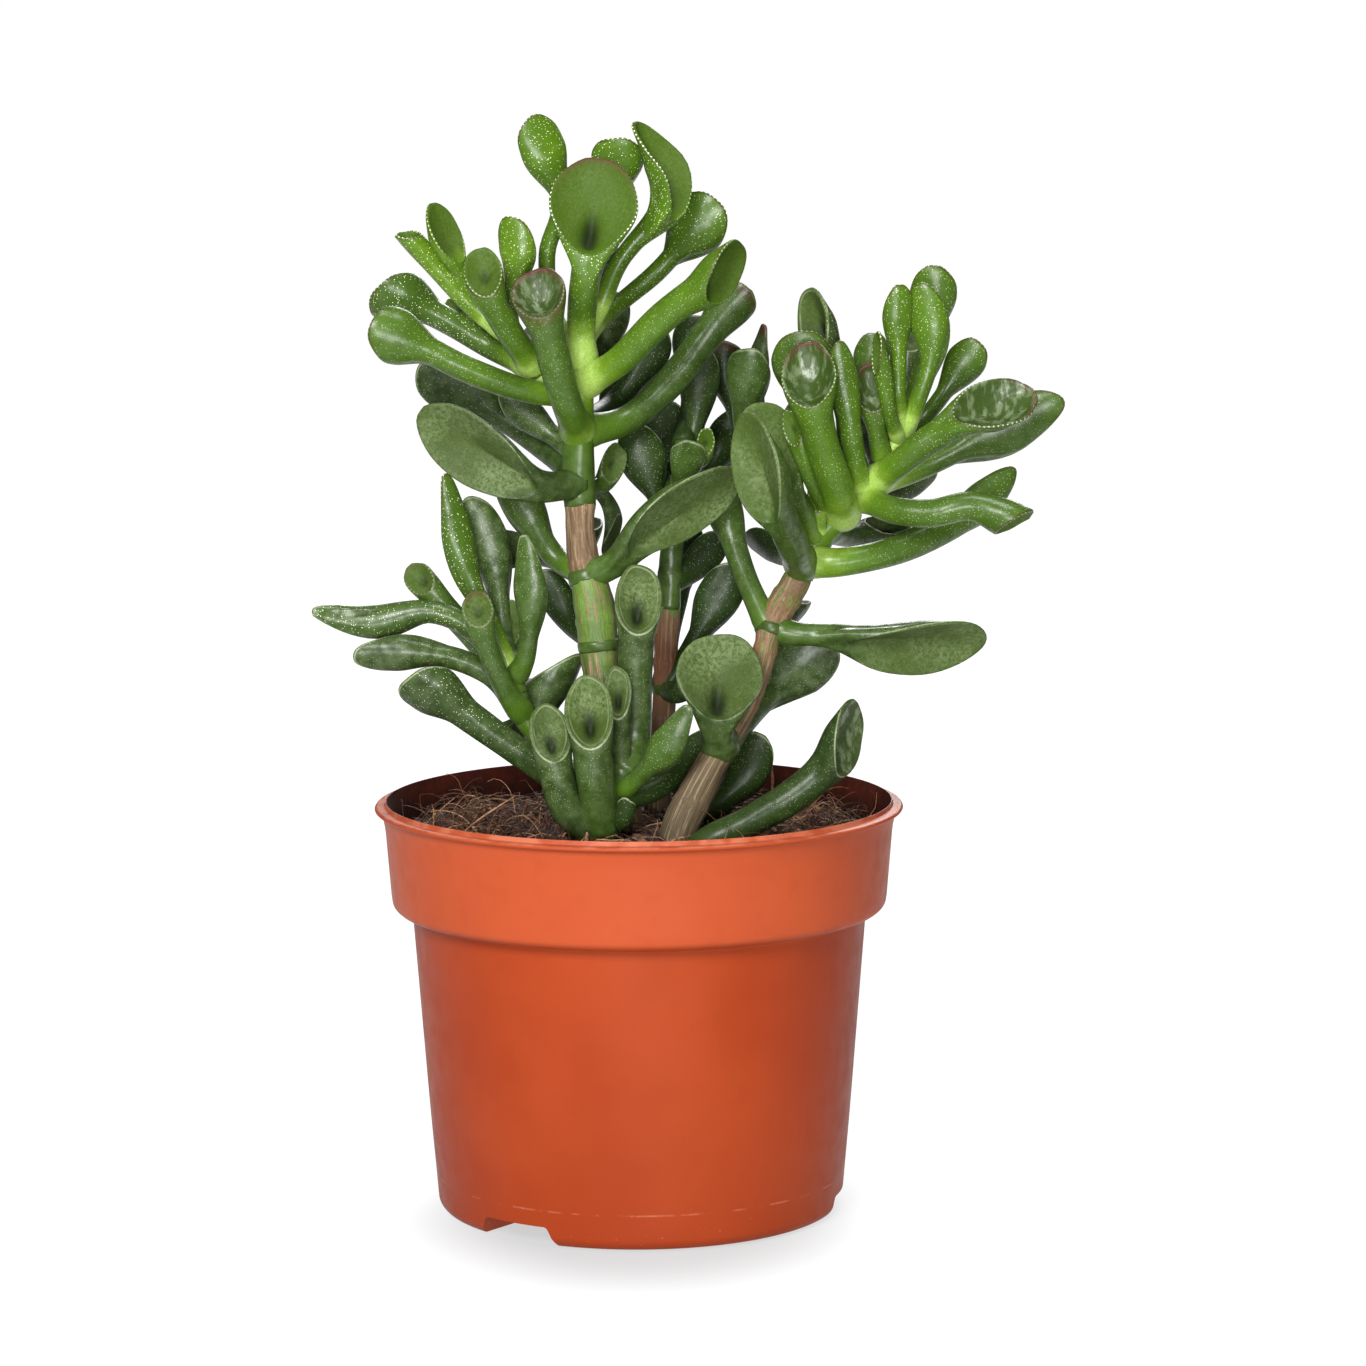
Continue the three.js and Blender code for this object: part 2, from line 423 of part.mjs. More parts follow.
function leafSolid(curves, row) {
  const [root, via, tip, neck, halfWidth, halfThickness, mouth, turn, lift, point = 0] = row;
  const curve = smoothCurve([rootOn(curves, root), ...via.map(drawnToWorld), drawnToWorld(tip)]);
  const length = curve.getLength();
  const faces = facesAlong(curve, facing(turn, lift));
  const heel = 1 - mouth / length;        // where the mouth starts, as a share of the length
  const blunt = 1 - BLUNTING * THREE.MathUtils.smoothstep(mouth, ...LONG_MOUTH);
  const rimAt = (angle) => heel + (1 - heel) * ((1 - Math.cos(angle)) / 2) ** blunt;
  const widest = rimAt(Math.PI / 2);
  const flare = Math.max(FLARE.shortest, FLARE.share * mouth) / length;

  const skinAt = (angle, share) => {
    const t = share * rimAt(angle);
    const { place, face, side } = frameAt(curve, faces, t);
    const growth = THREE.MathUtils.smoothstep(t, widest - flare, widest);
    const stalk = neck * (1 + STALK_SPREAD * t);
    const taper = 1 - POINT_TAPER * point * THREE.MathUtils.smoothstep(t, heel, 1);
    const thickness = THREE.MathUtils.lerp(stalk, halfThickness, growth) * taper;
    const width = THREE.MathUtils.lerp(stalk, halfWidth, growth) * taper;
    return place.addScaledVector(face, Math.cos(angle) * thickness)
      .addScaledVector(side, Math.sin(angle) * width);
  };

  const front = skinAt(0, 1);
  const back = skinAt(Math.PI, 1);
  const across = skinAt(Math.PI / 2, 1).sub(skinAt(-Math.PI / 2, 1));
  const inward = across.cross(front.clone().sub(back)).setLength(CUP_DEPTH * halfThickness);
  const pit = back.clone().lerp(front, PIT_PLACE).add(inward);
  const foot = curve.getPointAt(0);

  const small = halfWidth < SMALL_LEAF;
  const rings = length < SHORT_LEAF ? SHORT_LEAF_RINGS : RINGS;
  const cup = small ? [] : [CUP_RING];
  const radii = [0, ...rings.map(() => 1), ...cup, 0];
  return bentLathe(radii, small ? SMALL_LEAF_SIDES : LEAF_SIDES, (angle, ring) => {
    if (ring === 0) return foot;
    if (ring === radii.length - 1) return pit;
    if (ring <= rings.length) return skinAt(angle, rings[ring - 1]);
    return skinAt(angle, 1).lerp(pit, 1 - CUP_RING).addScaledVector(inward, CUP_RING_DROP);
  });
}

// ---------------------------------------------------------------- plant

function spray({ stems, leaves }) {
  const curves = stems.map(stemCurve);
  const branches = stems.map((rows) => stemSolid(rows));
  return joinAll([...branches, ...leaves.map((row) => leafSolid(curves, row))]);
}

// The stretch of a trunk between two drawn heights, thickened by `extraRadius`.
function trunkBand(trunk, low, high, extraRadius) {
  const curve = stemCurve(trunk);
  const inside = curve.getSpacedPoints(BAND_SEARCH).filter((point) => {
    const [, z] = worldToDrawn(point);
    return z >= low && z <= high;
  });
  const ends = [inside[0], inside[Math.floor(inside.length / 2)], inside[inside.length - 1]];
  const radiusNear = (z) => {
    const above = Math.max(1, trunk.findIndex((row) => row[1] >= z));
    const [lower, upper] = [trunk[above - 1], trunk[above]];
    return THREE.MathUtils.mapLinear(z, lower[1], upper[1], lower[3], upper[3]);
  };
  return ends.map((point) => {
    const [x, z] = worldToDrawn(point);
    return [x, z, point.y, radiusNear(z) + extraRadius];
  });
}

function leafPair({ trunk, ring, leaves }) {
  const low = ring - PAIR_COLLAR.height / 2;
  const collar = stemSolid(trunkBand(trunk, low, low + PAIR_COLLAR.height, PAIR_COLLAR.rim));
  const curves = [stemCurve(trunk)];
  const joined = joinAll([collar, ...leaves.map((row) => leafSolid(curves, row))]);
  return joined.subtract(stemSolid(trunk, GAP));
}

// ---------------------------------------------------------------- pot and soil

function lathe(profile, sides) {
  return toSolid(new THREE.LatheGeometry(profile.map(([r, z]) => new THREE.Vector2(r, z)), sides)
    .rotateX(Math.PI / 2));
}

// Half of the pot's outer outline, from the middle of its underside to the lip.
function potOutside() {
  return [
    [0, 0], [14, 0], [15.6, FOOT_RISE], [33, FOOT_RISE], [34.6, 0], [44.8, 0], [45.8, 0.5], [46.2, 1.6],
    [48, 22], [51.6, COLLAR_FOOT - 0.4], [54.6, COLLAR_FOOT], [55.9, COLLAR_FOOT + 1],
    [56.3, COLLAR_FOOT + 3], [57.6, 88], [58.2, POT_HEIGHT - 1.6], [59.4, POT_HEIGHT - 1.4],
    [RIM_RADIUS, POT_HEIGHT - 0.8], [59.4, POT_HEIGHT], [0, POT_HEIGHT],
  ];
}

// The pot's hollow, drawn in by `inset` from its inner faces and closed with the points `top`.
// A lathe with fewer sides than the pot needs `ease` to stay clear round the raised ring.
function potHollow(inset, top, ease = 1) {
  const floor = WALL + inset;
  const raised = FOOT_RISE + WALL + inset;
  const shelf = COLLAR_FOOT + WALL + inset;
  return [
    [0, floor], [13.2 - inset, floor], [15 - inset, raised],
    [(33.6 + inset) * ease, raised], [(35.4 + inset) * ease, floor],
    [44 - inset, floor], [45 - inset, floor + 1.6], [46.8 - inset, 22],
    [50.4 - inset, COLLAR_FOOT - 0.8], [50.6 - inset, shelf], [54.4 - inset, shelf],
    [55 - inset, COLLAR_FOOT + 4], [55.9 - inset, SOIL_EDGE], ...top,
  ];
}

// The three channels under the foot, which let water run out, made larger by `extra`.
function footChannels(extra) {
  const outline = new THREE.Shape([
    new THREE.Vector2(-11 - extra, -1), new THREE.Vector2(11 + extra, -1),
    new THREE.Vector2(11 + extra, 0.8), new THREE.Vector2(8.6 + extra, FOOT_RISE + extra),
    new THREE.Vector2(-8.6 - extra, FOOT_RISE + extra), new THREE.Vector2(-11 - extra, 0.8),
  ]);
  const inner = 33 - extra;
  const channel = new THREE.ExtrudeGeometry(outline, { depth: CHANNEL_REACH - inner, bevelEnabled: false })
    .rotateX(Math.PI / 2)
    .translate(0, -inner, 0);
  return joinAll(FOOT_CHANNEL_TURNS.map((turn) => toSolid(
    channel.clone().rotateZ(THREE.MathUtils.degToRad(turn)))));
}

function drainHoles() {
  const hole = new THREE.CylinderGeometry(DRAIN_RADIUS, DRAIN_RADIUS, DRAIN_REACH, DRAIN_SIDES)
    .rotateX(Math.PI / 2);
  return joinAll(DRAIN_TURNS.map(THREE.MathUtils.degToRad).map((turn) => toSolid(
    hole.clone().translate(DRAIN_RING * Math.cos(turn), DRAIN_RING * Math.sin(turn), FOOT_RISE))));
}

function potSolid() {
  const mouth = [[56.6, 90], [57.4, POT_HEIGHT + 1], [0, POT_HEIGHT + 1]];
  const hollow = lathe(potHollow(0, mouth), POT_SIDES).subtract(footChannels(WALL));
  return lathe(potOutside(), POT_SIDES)
    .subtract(footChannels(0))
    .subtract(hollow)
    .subtract(drainHoles());
}

function soilSolid(standing) {
  const rise = SOIL_TOP - SOIL_EDGE;
  const mound = [[52, 0.15], [44, 0.4], [32, 0.7], [16, 0.92], [0, 1]]
    .map(([radius, share]) => [radius, SOIL_EDGE + share * rise]);
  const ease = 1 / Math.cos(Math.PI / SOIL_SIDES);
  const ball = lathe(potHollow(GAP, mound, ease), SOIL_SIDES).subtract(footChannels(WALL + GAP));
  return standing.reduce((soil, rows) => soil.subtract(stemSolid(rows, GAP, GAP)), ball);
}

// ---------------------------------------------------------------- assembly

const plant = new THREE.Group();
const standingStems = [TRUNK_LEFT, TRUNK_RIGHT, TRUNK_BACK];
for (const name of ['shoot_low_left', 'shoot_front', 'shoot_right', 'shoot_middle']) {
  standingStems.push(SPRAYS[name].stems[0]);
}

plant.add(toMesh('pot', potSolid(), MATERIALS.pot));
plant.add(toMesh('soil', soilSolid(standingStems), MATERIALS.soil));
plant.add(toMesh('trunk_left', stemSolid(TRUNK_LEFT), MATERIALS.bark));
plant.add(toMesh('trunk_right', stemSolid(TRUNK_RIGHT), MATERIALS.bark));
plant.add(toMesh('trunk_back', stemSolid(TRUNK_BACK), MATERIALS.bark));
for (const [name, layout] of Object.entries(SPRAYS)) {
  plant.add(toMesh(name, spray(layout), MATERIALS.leaf));
}
for (const [name, layout] of Object.entries(LEAF_PAIRS)) {
  plant.add(toMesh(name, leafPair(layout), MATERIALS.leaf));
}

export default plant;
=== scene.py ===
import math
from collections import namedtuple

import bpy
import numpy as np
from mathutils import Matrix, Vector, noise


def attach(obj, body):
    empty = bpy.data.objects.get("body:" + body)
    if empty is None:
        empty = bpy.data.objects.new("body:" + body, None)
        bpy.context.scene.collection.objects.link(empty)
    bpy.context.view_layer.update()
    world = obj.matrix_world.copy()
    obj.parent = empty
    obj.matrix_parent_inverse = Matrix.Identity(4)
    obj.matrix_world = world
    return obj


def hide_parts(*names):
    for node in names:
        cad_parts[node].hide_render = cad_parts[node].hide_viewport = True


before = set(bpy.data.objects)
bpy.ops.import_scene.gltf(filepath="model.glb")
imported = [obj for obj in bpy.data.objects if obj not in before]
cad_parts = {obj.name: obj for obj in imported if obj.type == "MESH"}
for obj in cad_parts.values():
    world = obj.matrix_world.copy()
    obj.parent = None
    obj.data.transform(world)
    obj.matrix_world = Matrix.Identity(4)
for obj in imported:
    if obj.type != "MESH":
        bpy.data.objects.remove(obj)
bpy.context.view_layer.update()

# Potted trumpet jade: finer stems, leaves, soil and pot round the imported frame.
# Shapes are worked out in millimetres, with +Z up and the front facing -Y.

MM = 0.001
rng = np.random.default_rng(7)

# ------------------------ driving dimensions

GAP = 0.3                   # clearance between the soil and the pot
POT_HEIGHT = 92.7
RIM_RADIUS = 60.0
WALL = 1.2
COLLAR_FOOT = 69.0          # height at which the wall steps out into the collar
FOOT_RISE = 4.4             # height of the raised ring and of the three foot channels
CHANNEL_TURNS = (-37, 83, 203)
CHANNEL_FOOT, CHANNEL_TOP = 11.0, 8.6       # half the width of a channel at its foot and at its top
CHANNEL_START, CHANNEL_END = 33, 50         # its distances from the middle of the pot
DRAIN_RADIUS = 2.5
DRAIN_RING = 25.0
DRAIN_SIDES = 40
DRAIN_LOW, DRAIN_HIGH = -1.6, 10            # where the cutters of the drain holes begin and end
SOIL_TOP = 89.0
SOIL_EDGE = 85.5

# The plant is laid out as a front drawing: x and z are read on the upright plane through the
# middle of the pot, as an eye at EYE sees them, and a depth sets the point back from the plane.
EYE_X, EYE_DISTANCE, EYE_Z = 10.1, 1100.0, 275.5

# ------------------------ layout of stems and leaves

# A stem is a list of (x, z, depth, radius) from its foot up.
TRUNKS = {
    "trunk_left": [(-2, 72, -12, 4.2), (-3, 84, -12, 4.4), (-5.5, 100, -10, 4.5), (-8, 120, -7, 4.3),
                   (-10, 138, -5, 4.6), (-12, 147, -3, 3.6), (-12.9, 155, -2, 3.2),
                   (-13, 162, -1.5, 3.3)],
    "trunk_right": [(7, 72, -21, 4.4), (8.5, 84, -20, 4.3), (13, 95, -18, 4), (18.5, 105, -15, 3.4),
                    (23.5, 113, -12, 2.6), (27, 121, -9, 2.4), (29, 129, -7, 2.9), (31, 135, -5, 3.6),
                    (35, 142, -3, 3.3), (36.7, 145.4, -2.8, 3.1)],
    "trunk_back": [(3, 72, 8, 3), (4, 86, 8, 3), (5, 104, 8, 2.9), (6, 120, 8, 2.7),
                   (6.8, 138.6, 8, 2.7)],
}
# The green stems of each head and shoot, as in TRUNKS.
STEMS = {
    "crown_left": [
        [[-13, 160.4, -1.5, 3.5], [-13.3, 170, -1, 3.7], [-13, 178, -0.5, 3.4], [-12.7, 186, 0, 3],
         [-12.4, 194, 0, 2.8], [-12, 200, 0, 2.5]],
        [[-13, 180, 0, 2.4], [-19, 187, 3, 2.3], [-25, 194, 5, 2], [-29, 199.5, 6, 1.6]],
    ],
    "crown_right": [
        [[36.2, 144.4, -2.6, 3.4], [38, 149, -2, 3.4], [42, 154.5, -1, 3.2], [47, 159.5, 0, 3.3],
         [51, 163, 0, 3], [55, 168, 1, 2.6], [58, 173, 1, 2.3], [59.6, 177, 1, 1.8]],
        [[38, 149, -1, 2.6], [33, 157, 8, 2.4], [28, 166, 12, 2.2]],
    ],
    "crown_back": [
        [[6.8, 137, 8, 2.9], [7.4, 148, 9, 2.7], [8.5, 158, 10, 2.5], [10, 168, 12, 2.2],
         [10.5, 176, 12, 1.8]],
    ],
    "shoot_low_left": [
        [[-11, 72, -14, 3.2], [-12, 84, -14, 3.2], [-16, 96, -14, 3], [-21, 106, -13, 2.8],
         [-26, 113, -12, 2.6], [-28, 119, -11, 2.4], [-28.5, 124, -10, 2]],
    ],
    "shoot_front": [
        [[-10, 74, -23, 3], [-10, 84, -23, 3.2], [-7, 90, -22, 2.8], [-4, 97, -20, 2.6], [-3, 101, -19, 2.2]],
    ],
    "shoot_right": [
        [[11, 74, -28, 2.6], [13, 79.5, -28, 2.8], [17, 84, -27, 2.8], [23, 87, -27, 2.6], [30, 91, -27, 2]],
    ],
    "shoot_middle": [[[12, 74, -5, 2.6], [12.5, 86, -5, 2.6], [13, 93, -5, 2.2]]],
}
# A leaf grows from the point of its stem that looks nearest to `root` (x, z), bends through the points
# `via` and ends at `tip`, both as (x, z, depth). Its stalk has the radius `neck` and widens into a
# mouth cut aslant, `mouth` long, which faces to the front, turned `turn` degrees to the right and `lift` up.
# `point` is how much the leaf narrows to its tip, from 0 to 1.
Leaf = namedtuple("Leaf", "root via tip neck half_width half_thickness mouth turn lift point", defaults=[0.0])
LEAVES = {
    "crown_left": [
        [[-12.4, 194], [[-18.5, 204, 14], [-20, 217, 15], [-16.8, 230, 14]], [-24, 247.3, 14],
         1.7, 5.6, 3, 16, -155, 0],
        [[-28, 198], [[-35.5, 207, 8], [-41.4, 216, 7]], [-43.4, 228.4, 7], 1.8, 4.8, 3.2, 14, 50, 5],
        [[-29, 199], [[-37, 205.5, 8], [-44.5, 213.8, 7]], [-52, 222.6, 5], 1.9, 3, 2.6, 3.5, 69, 48],
        [[-23, 191.5], [[-28, 199, -2], [-33, 208, -5]], [-35.3, 217.8, -5], 2.7, 4.5, 3.4, 10, 0, 5],
        [[-22, 190], [[-27, 199, 7], [-28.2, 208, 7], [-26.6, 217, 7]], [-27.2, 225.6, 7],
         1.4, 4.4, 2.8, 15, 160, 0],
        [[-28, 199], [[-34, 202, 15]], [-43, 206.5, 19], 1.4, 2.4, 1.6, 7, -20, 20],
        [[-13, 177], [[-15.5, 183, -10], [-19, 195, -14]], [-23, 213.3, -14], 3.2, 6.1, 4.9, 10.5, -5, 8],
        [[-12.4, 192], [[-12.3, 203, -3], [-11.3, 213, -8]], [-8.3, 237.8, -8], 3, 9.8, 4.4, 21, 0, 8],
        [[-12, 199], [[-10, 212, 10], [-5.5, 228, 12]], [-3.4, 243.2, 10], 2, 5.9, 3.4, 10, 180, 5],
        [[-12, 199], [[-8.2, 205, 3], [-3.6, 215.5, 3], [4.6, 226, 3], [7.6, 236, 3]], [3.2, 247.5, 3],
         1.9, 7.2, 6.4, 23, 62, 0, 0.4],
        [[-12, 198], [[-5, 205, 14], [4, 212.5, 17], [10, 219, 17]], [18, 228.7, 17],
         1.9, 7, 3.8, 14, 165, 5],
        [[-12.6, 188], [[-4, 193, -7], [6, 203, -10], [15, 209.5, -12]], [25.4, 216.4, -12],
         3.1, 6.8, 4.6, 13, 41, -35],
        [[-13, 177], [[-2, 180, 7], [8, 189, 10], [16, 199, 12]], [24.5, 209.5, 12], 3.1, 5, 4.2, 8, 150, 30],
        [[-12.7, 186], [[-24, 186.3, -5], [-38, 191.3, -8], [-48, 196.3, -8]], [-59.5, 200.8, -8],
         2.6, 6.3, 4.6, 11, 175, -15],
        [[-23, 192], [[-32, 196, 14], [-42, 202, 15]], [-58, 210, 15], 2.6, 6.8, 5.2, 10, 180, 30],
        [[-13.2, 167], [[-24, 176, 12], [-36, 184.5, 15]], [-48.3, 192, 17], 2.6, 7, 3, 20, 180, 0],
        [[-13.1, 165.3], [[-22, 165.6, -7], [-34, 171.2, -10]], [-49, 179.8, -12], 2.8, 8.2, 5, 30, -8, -22],
        [[-13.3, 172], [[-20, 177, 3]], [-30, 186, 5], 1.8, 3.8, 2.3, 13, 180, 0],
        [[-13.2, 164.5], [[-8, 165.5, 7]], [-3.5, 174, 8], 1.6, 3, 1.8, 9, 20, 0],
        [[-13.2, 165], [[-8, 163, 8], [-5.5, 157, 12]], [-6.3, 149.5, 14], 1.5, 3.2, 1.6, 10, 60, 0],
        [[-13, 178], [[-14, 184, 20], [-18, 192, 28]], [-22, 204, 38], 2.4, 5, 3.4, 10, -20, 40],
        [[-12.7, 187], [[-9, 191, 17], [-7, 197, 22]], [-5, 207, 30], 2.2, 4.5, 3, 10, 180, 20],
        [[-13.2, 171], [[-16, 174, 20], [-22, 178, 28]], [-30, 184, 38], 2.4, 5, 3.2, 12, -20, 30],
        [[-13, 179], [[-6, 183, 19], [0, 190, 23]], [4.5, 201, 26], 2.3, 5.2, 3, 12, 180, -10],
        [[-12.5, 193], [[-11, 201, 20], [-9, 210, 22]], [-8, 226, 28], 2.2, 4.6, 3, 12, 180, 10],
    ],
    "crown_right": [
        [[37, 147], [[35, 151.5, -17], [30.5, 162, -26]], [21.3, 177.8, -29], 3.3, 7, 6.2, 22, -40, -10],
        [[37.5, 148], [[46, 147.6, -5], [60, 150.8, -2], [74.5, 158.6, 5]], [84.2, 168.6, 8],
         3, 5, 3.4, 16, 165, 25, 0.5],
        [[39.5, 152.5], [[37, 160, -7], [31.5, 170, -10]], [26.5, 183, -10], 2.2, 7, 3.4, 20, -10, 5],
        [[32, 158], [[27, 168, 14], [24.5, 180, 12]], [25.3, 196.2, 10], 2.6, 5.2, 4, 12, 170, 10],
        [[30, 162], [[28, 175, 20], [26.5, 188, 20]], [29, 201.3, 19], 1.8, 3.6, 2.4, 12, 130, 0, 0.8],
        [[29, 165], [[24, 176, 24], [21, 186, 26]], [19.5, 197.3, 27], 1.8, 4.6, 2.4, 12, 180, 0],
        [[46.5, 158], [[45, 163.5, -10], [40.8, 177, -15]], [37.4, 196.3, -15], 3.5, 6.2, 5, 13.5, -8, 5],
        [[45.5, 158.5], [[43, 172, -2], [37.5, 186, 0]], [37.5, 199.5, 0], 2.2, 7, 3.2, 13, 180, 5],
        [[47, 160], [[47.5, 175, 8], [45.5, 190, 8]], [36.2, 207.3, 7], 2.4, 5.6, 4.2, 14, -50, -10],
        [[50.5, 162.5], [[48.7, 172, -7], [46.8, 186, -8]], [44.8, 197.3, -8],
         2.3, 3.8, 2.8, 18, 190, 0, 0.3],
        [[51, 162.5], [[57, 159.5, -10], [66, 158.5, -14], [76, 160, -14]], [87.5, 155.3, -14],
         2.8, 5.2, 4.2, 6, 20, -65],
        [[53, 165.5], [[59, 170, -7], [69.5, 177.5, -10]], [88, 187.2, -12], 2.9, 6.6, 4.4, 18, -15, 34],
        [[53.5, 166], [[61.5, 168, 5], [75, 174.4, 7]], [95.2, 184.4, 7], 2.6, 7.8, 4.2, 26, 180, 0, 0.5],
        [[50.5, 162.5], [[57, 163, 14]], [65.7, 170, 19], 2, 4.4, 2.6, 11, 150, 30],
        [[42, 154.5], [[49, 153.5, 12]], [61.5, 157, 19], 2.2, 4.4, 2.6, 12, 0, 60],
        [[56, 169.5], [[54, 176, -2]], [52.4, 191.2, -5], 2, 4.3, 3.4, 9.5, -5, 5],
        [[57, 171], [[54.5, 181, 10], [52.5, 190, 12]], [53, 199, 12], 1.8, 4, 2.8, 10, 180, 10],
        [[59, 175], [[56.5, 182, -7], [55.3, 190, -8]], [52.6, 198.6, -10], 1.5, 2.9, 2.2, 9, -70, 10],
        [[59.4, 176.5], [[58.6, 185, -3], [58.6, 196, -2]], [58.4, 209.8, -2], 1.7, 3.6, 2.6, 12, -160, 0],
        [[59.4, 176.5], [[63, 184, -2], [66, 195, -2]], [64.5, 210, 0], 1.8, 4.6, 3.3, 17, 160, 10],
        [[59.5, 176.8], [[62.5, 187, 12], [65.5, 198, 15]], [66.8, 214, 15], 1.7, 5.4, 3, 13, 180, 10],
        [[58, 173], [[65, 180.5, 10], [70.5, 188, 12]], [76.5, 197, 12], 1.7, 4.5, 2.8, 10, 170, 15],
        [[44, 157], [[39, 166, -12]], [33.6, 181.5, -14], 1.4, 2.4, 1.4, 8, -30, 0],
        [[40, 153.5], [[40.5, 158, -5]], [41, 168, -5], 1.6, 2.6, 1.8, 9, 0, 0],
        [[37.5, 148], [[35, 149, 17], [31.5, 150, 25]], [27, 153.5, 38], 2.4, 4.6, 3, 12, 180, 20],
        [[42, 154.5], [[46, 158, 20], [50, 163, 28]], [56, 172, 40], 2.4, 5, 3.6, 12, 30, 50],
        [[47, 159.5], [[44, 166, 20], [40, 174, 28]], [36, 186, 38], 2.4, 5, 3.6, 12, -20, 50],
        [[51, 163], [[54, 168, 20], [59, 175, 25]], [66, 182, 34], 2.2, 4.6, 3.2, 11, 20, 50],
        [[55, 168], [[52, 176, 20], [49, 184, 22]], [46, 194, 28], 2, 4.2, 3, 10, -20, 40],
        [[58, 173], [[60, 182, 17], [61, 192, 24]], [62, 203, 27], 1.8, 3.8, 2.8, 9, 0, 40],
    ],
    "crown_back": [
        [[9.5, 166], [[10.5, 168, 8]], [12.3, 175.4, 5], 1.6, 4, 1.8, 8, 180, 0],
        [[10, 170], [[14.5, 171, 8]], [15.8, 177.4, 6], 1.2, 2.1, 1.2, 6, 0, 0],
        [[10.2, 170], [[13, 178, 16]], [14.5, 196, 19], 2, 4.6, 2.8, 16, 180, 0],
        [[8.2, 156], [[4, 163, 10]], [-1, 178, 14], 1.9, 5.4, 2.6, 14, 180, 0],
        [[7.2, 143], [[11.5, 145.5, 12]], [19, 153.5, 15], 2, 4, 2.4, 12, 180, 0],
        [[8, 154], [[7, 163, 20]], [6, 183, 30], 2.2, 5.8, 3, 14, 180, -10],
        [[9, 162], [[2, 171, 24]], [-5, 188, 36], 2.2, 5.4, 3, 12, 180, -10],
        [[9, 162], [[16, 168, 24]], [23, 180, 36], 2.2, 5, 3, 12, 180, -10],
        [[10.4, 174], [[12, 184, 26]], [13, 202, 38], 2, 5, 3, 12, 180, -10],
    ],
    "shoot_low_left": [
        [[-17, 98], [[-24.5, 102.5, -18], [-38, 112.5, -19]], [-51.6, 122.6, -19], 3, 6.4, 4.6, 11, 170, 20],
        [[-16.5, 97], [[-21, 105, -9], [-22.5, 114, -6]], [-17, 128, -3], 3.4, 5.6, 5.4, 14, -115, 20],
        [[-26, 113], [[-29.5, 117.5, -16], [-34, 128, -18]], [-37, 140.6, -19], 2.2, 3.5, 2.9, 7.2, 0, 10],
        [[-27, 115], [[-34.5, 122.8, -13], [-46, 126.8, -14]], [-64.3, 127, -15],
         2.3, 4.6, 3.4, 18, 180, 10, 0.3],
        [[-27.5, 117], [[-36, 131, -8], [-47, 136.6, -8], [-60, 134.3, -8]], [-73.3, 136.5, -9],
         2.3, 4.8, 3.4, 24, 180, -20, 0.6],
        [[-27.5, 117], [[-35, 127.5, -5], [-43, 137, -5]], [-51.5, 146.6, -5], 2.3, 3.5, 3, 7, -10, 10],
        [[-28.3, 121], [[-25.3, 127, -14], [-24.3, 140, -15]], [-25.3, 153.8, -15],
         2, 4.8, 2.8, 20, 165, 0, 0.7],
        [[-28.3, 121], [[-32, 131, -8], [-38.5, 146, -7]], [-43.6, 167.5, -7], 2, 5, 3.2, 26, -150, 0, 0.7],
        [[-28.4, 122], [[-30.5, 132, -2], [-32.5, 147, -1]], [-37.8, 162.5, 0], 2.2, 5, 2.8, 22, 180, 0],
        [[-28, 119], [[-28.5, 127, -4]], [-29, 139, -3], 1.6, 2.4, 1.5, 10, 0, 0],
        [[-26, 113], [[-26, 115, 4], [-26, 118, 14]], [-27, 122, 24], 2.2, 4, 3, 10, -20, 50],
        [[-21, 106], [[-24, 106, 2], [-28, 108, 12]], [-33, 112, 20], 2.4, 4.5, 3.2, 10, -20, 50],
    ],
    "shoot_front": [
        [[-9.5, 87], [[-9.5, 95, -28], [-10.5, 105, -29]], [-12, 121, -29], 3.8, 5.5, 4.6, 15, 0, 8],
        [[-10, 87], [[-16, 91, -27], [-19, 101, -28]], [-20.8, 114.8, -28], 3.4, 4.5, 3.8, 12, 10, 5],
        [[-4, 97], [[-4, 106, -21], [-4.5, 114, -22]], [-5, 123.6, -22], 2, 3.2, 2.6, 11, -5, 8],
        [[-3.5, 99], [[-1, 108, -15], [-0.6, 125, -16]], [0.6, 146.3, -16], 3.4, 5.4, 4.8, 14.5, 3, 8],
        [[-4.5, 94.5], [[0, 98.5, -24], [6, 105, -27]], [11.6, 115, -28], 1.8, 5.2, 2.2, 17, 160, 20, 0.8],
        [[-8, 89], [[-4, 88.5, -27]], [-2.5, 94, -28], 1.6, 2.2, 1.6, 5, 180, 0],
        [[-5, 93], [[3, 95.5, -17], [9, 100.5, -12]], [15, 108, -7], 2.4, 3.4, 2.6, 10, 150, 30],
    ],
    "shoot_right": [
        [[13, 79.5], [[17, 84, -27], [23, 87, -27], [30, 91, -27], [34, 93.5, -27], [41, 99.5, -26]],
         [52, 113.2, -24], 3.3, 7.6, 4.6, 15, 50, -30],
    ],
    "shoot_middle": [
        [[12.8, 91], [[18.5, 93, -4], [24, 99, -3]], [27.5, 108.5, -3], 2.8, 5.2, 2.8, 14, 165, 10],
    ],
    "pair_left_high": [
        [[-11.8, 146], [[-17, 147.5, 1], [-22, 153.5, 3]], [-29.5, 168, 5], 2.4, 4.8, 3, 16, 180, 0],
        [[-11.8, 144.8], [[-5.5, 147.5, -6], [3, 156, -7]], [24, 165, -6], 2.6, 7.6, 4.4, 31, 5, -34],
        [[-12, 146], [[-20, 149, 9], [-30, 150.5, 13]], [-42.5, 147, 16], 2.4, 5, 2.6, 22, 0, 20],
        [[-12, 146], [[-12, 150, 12]], [-11.5, 160, 26], 2.2, 4, 3, 12, 0, 50],
    ],
    "pair_left_low": [
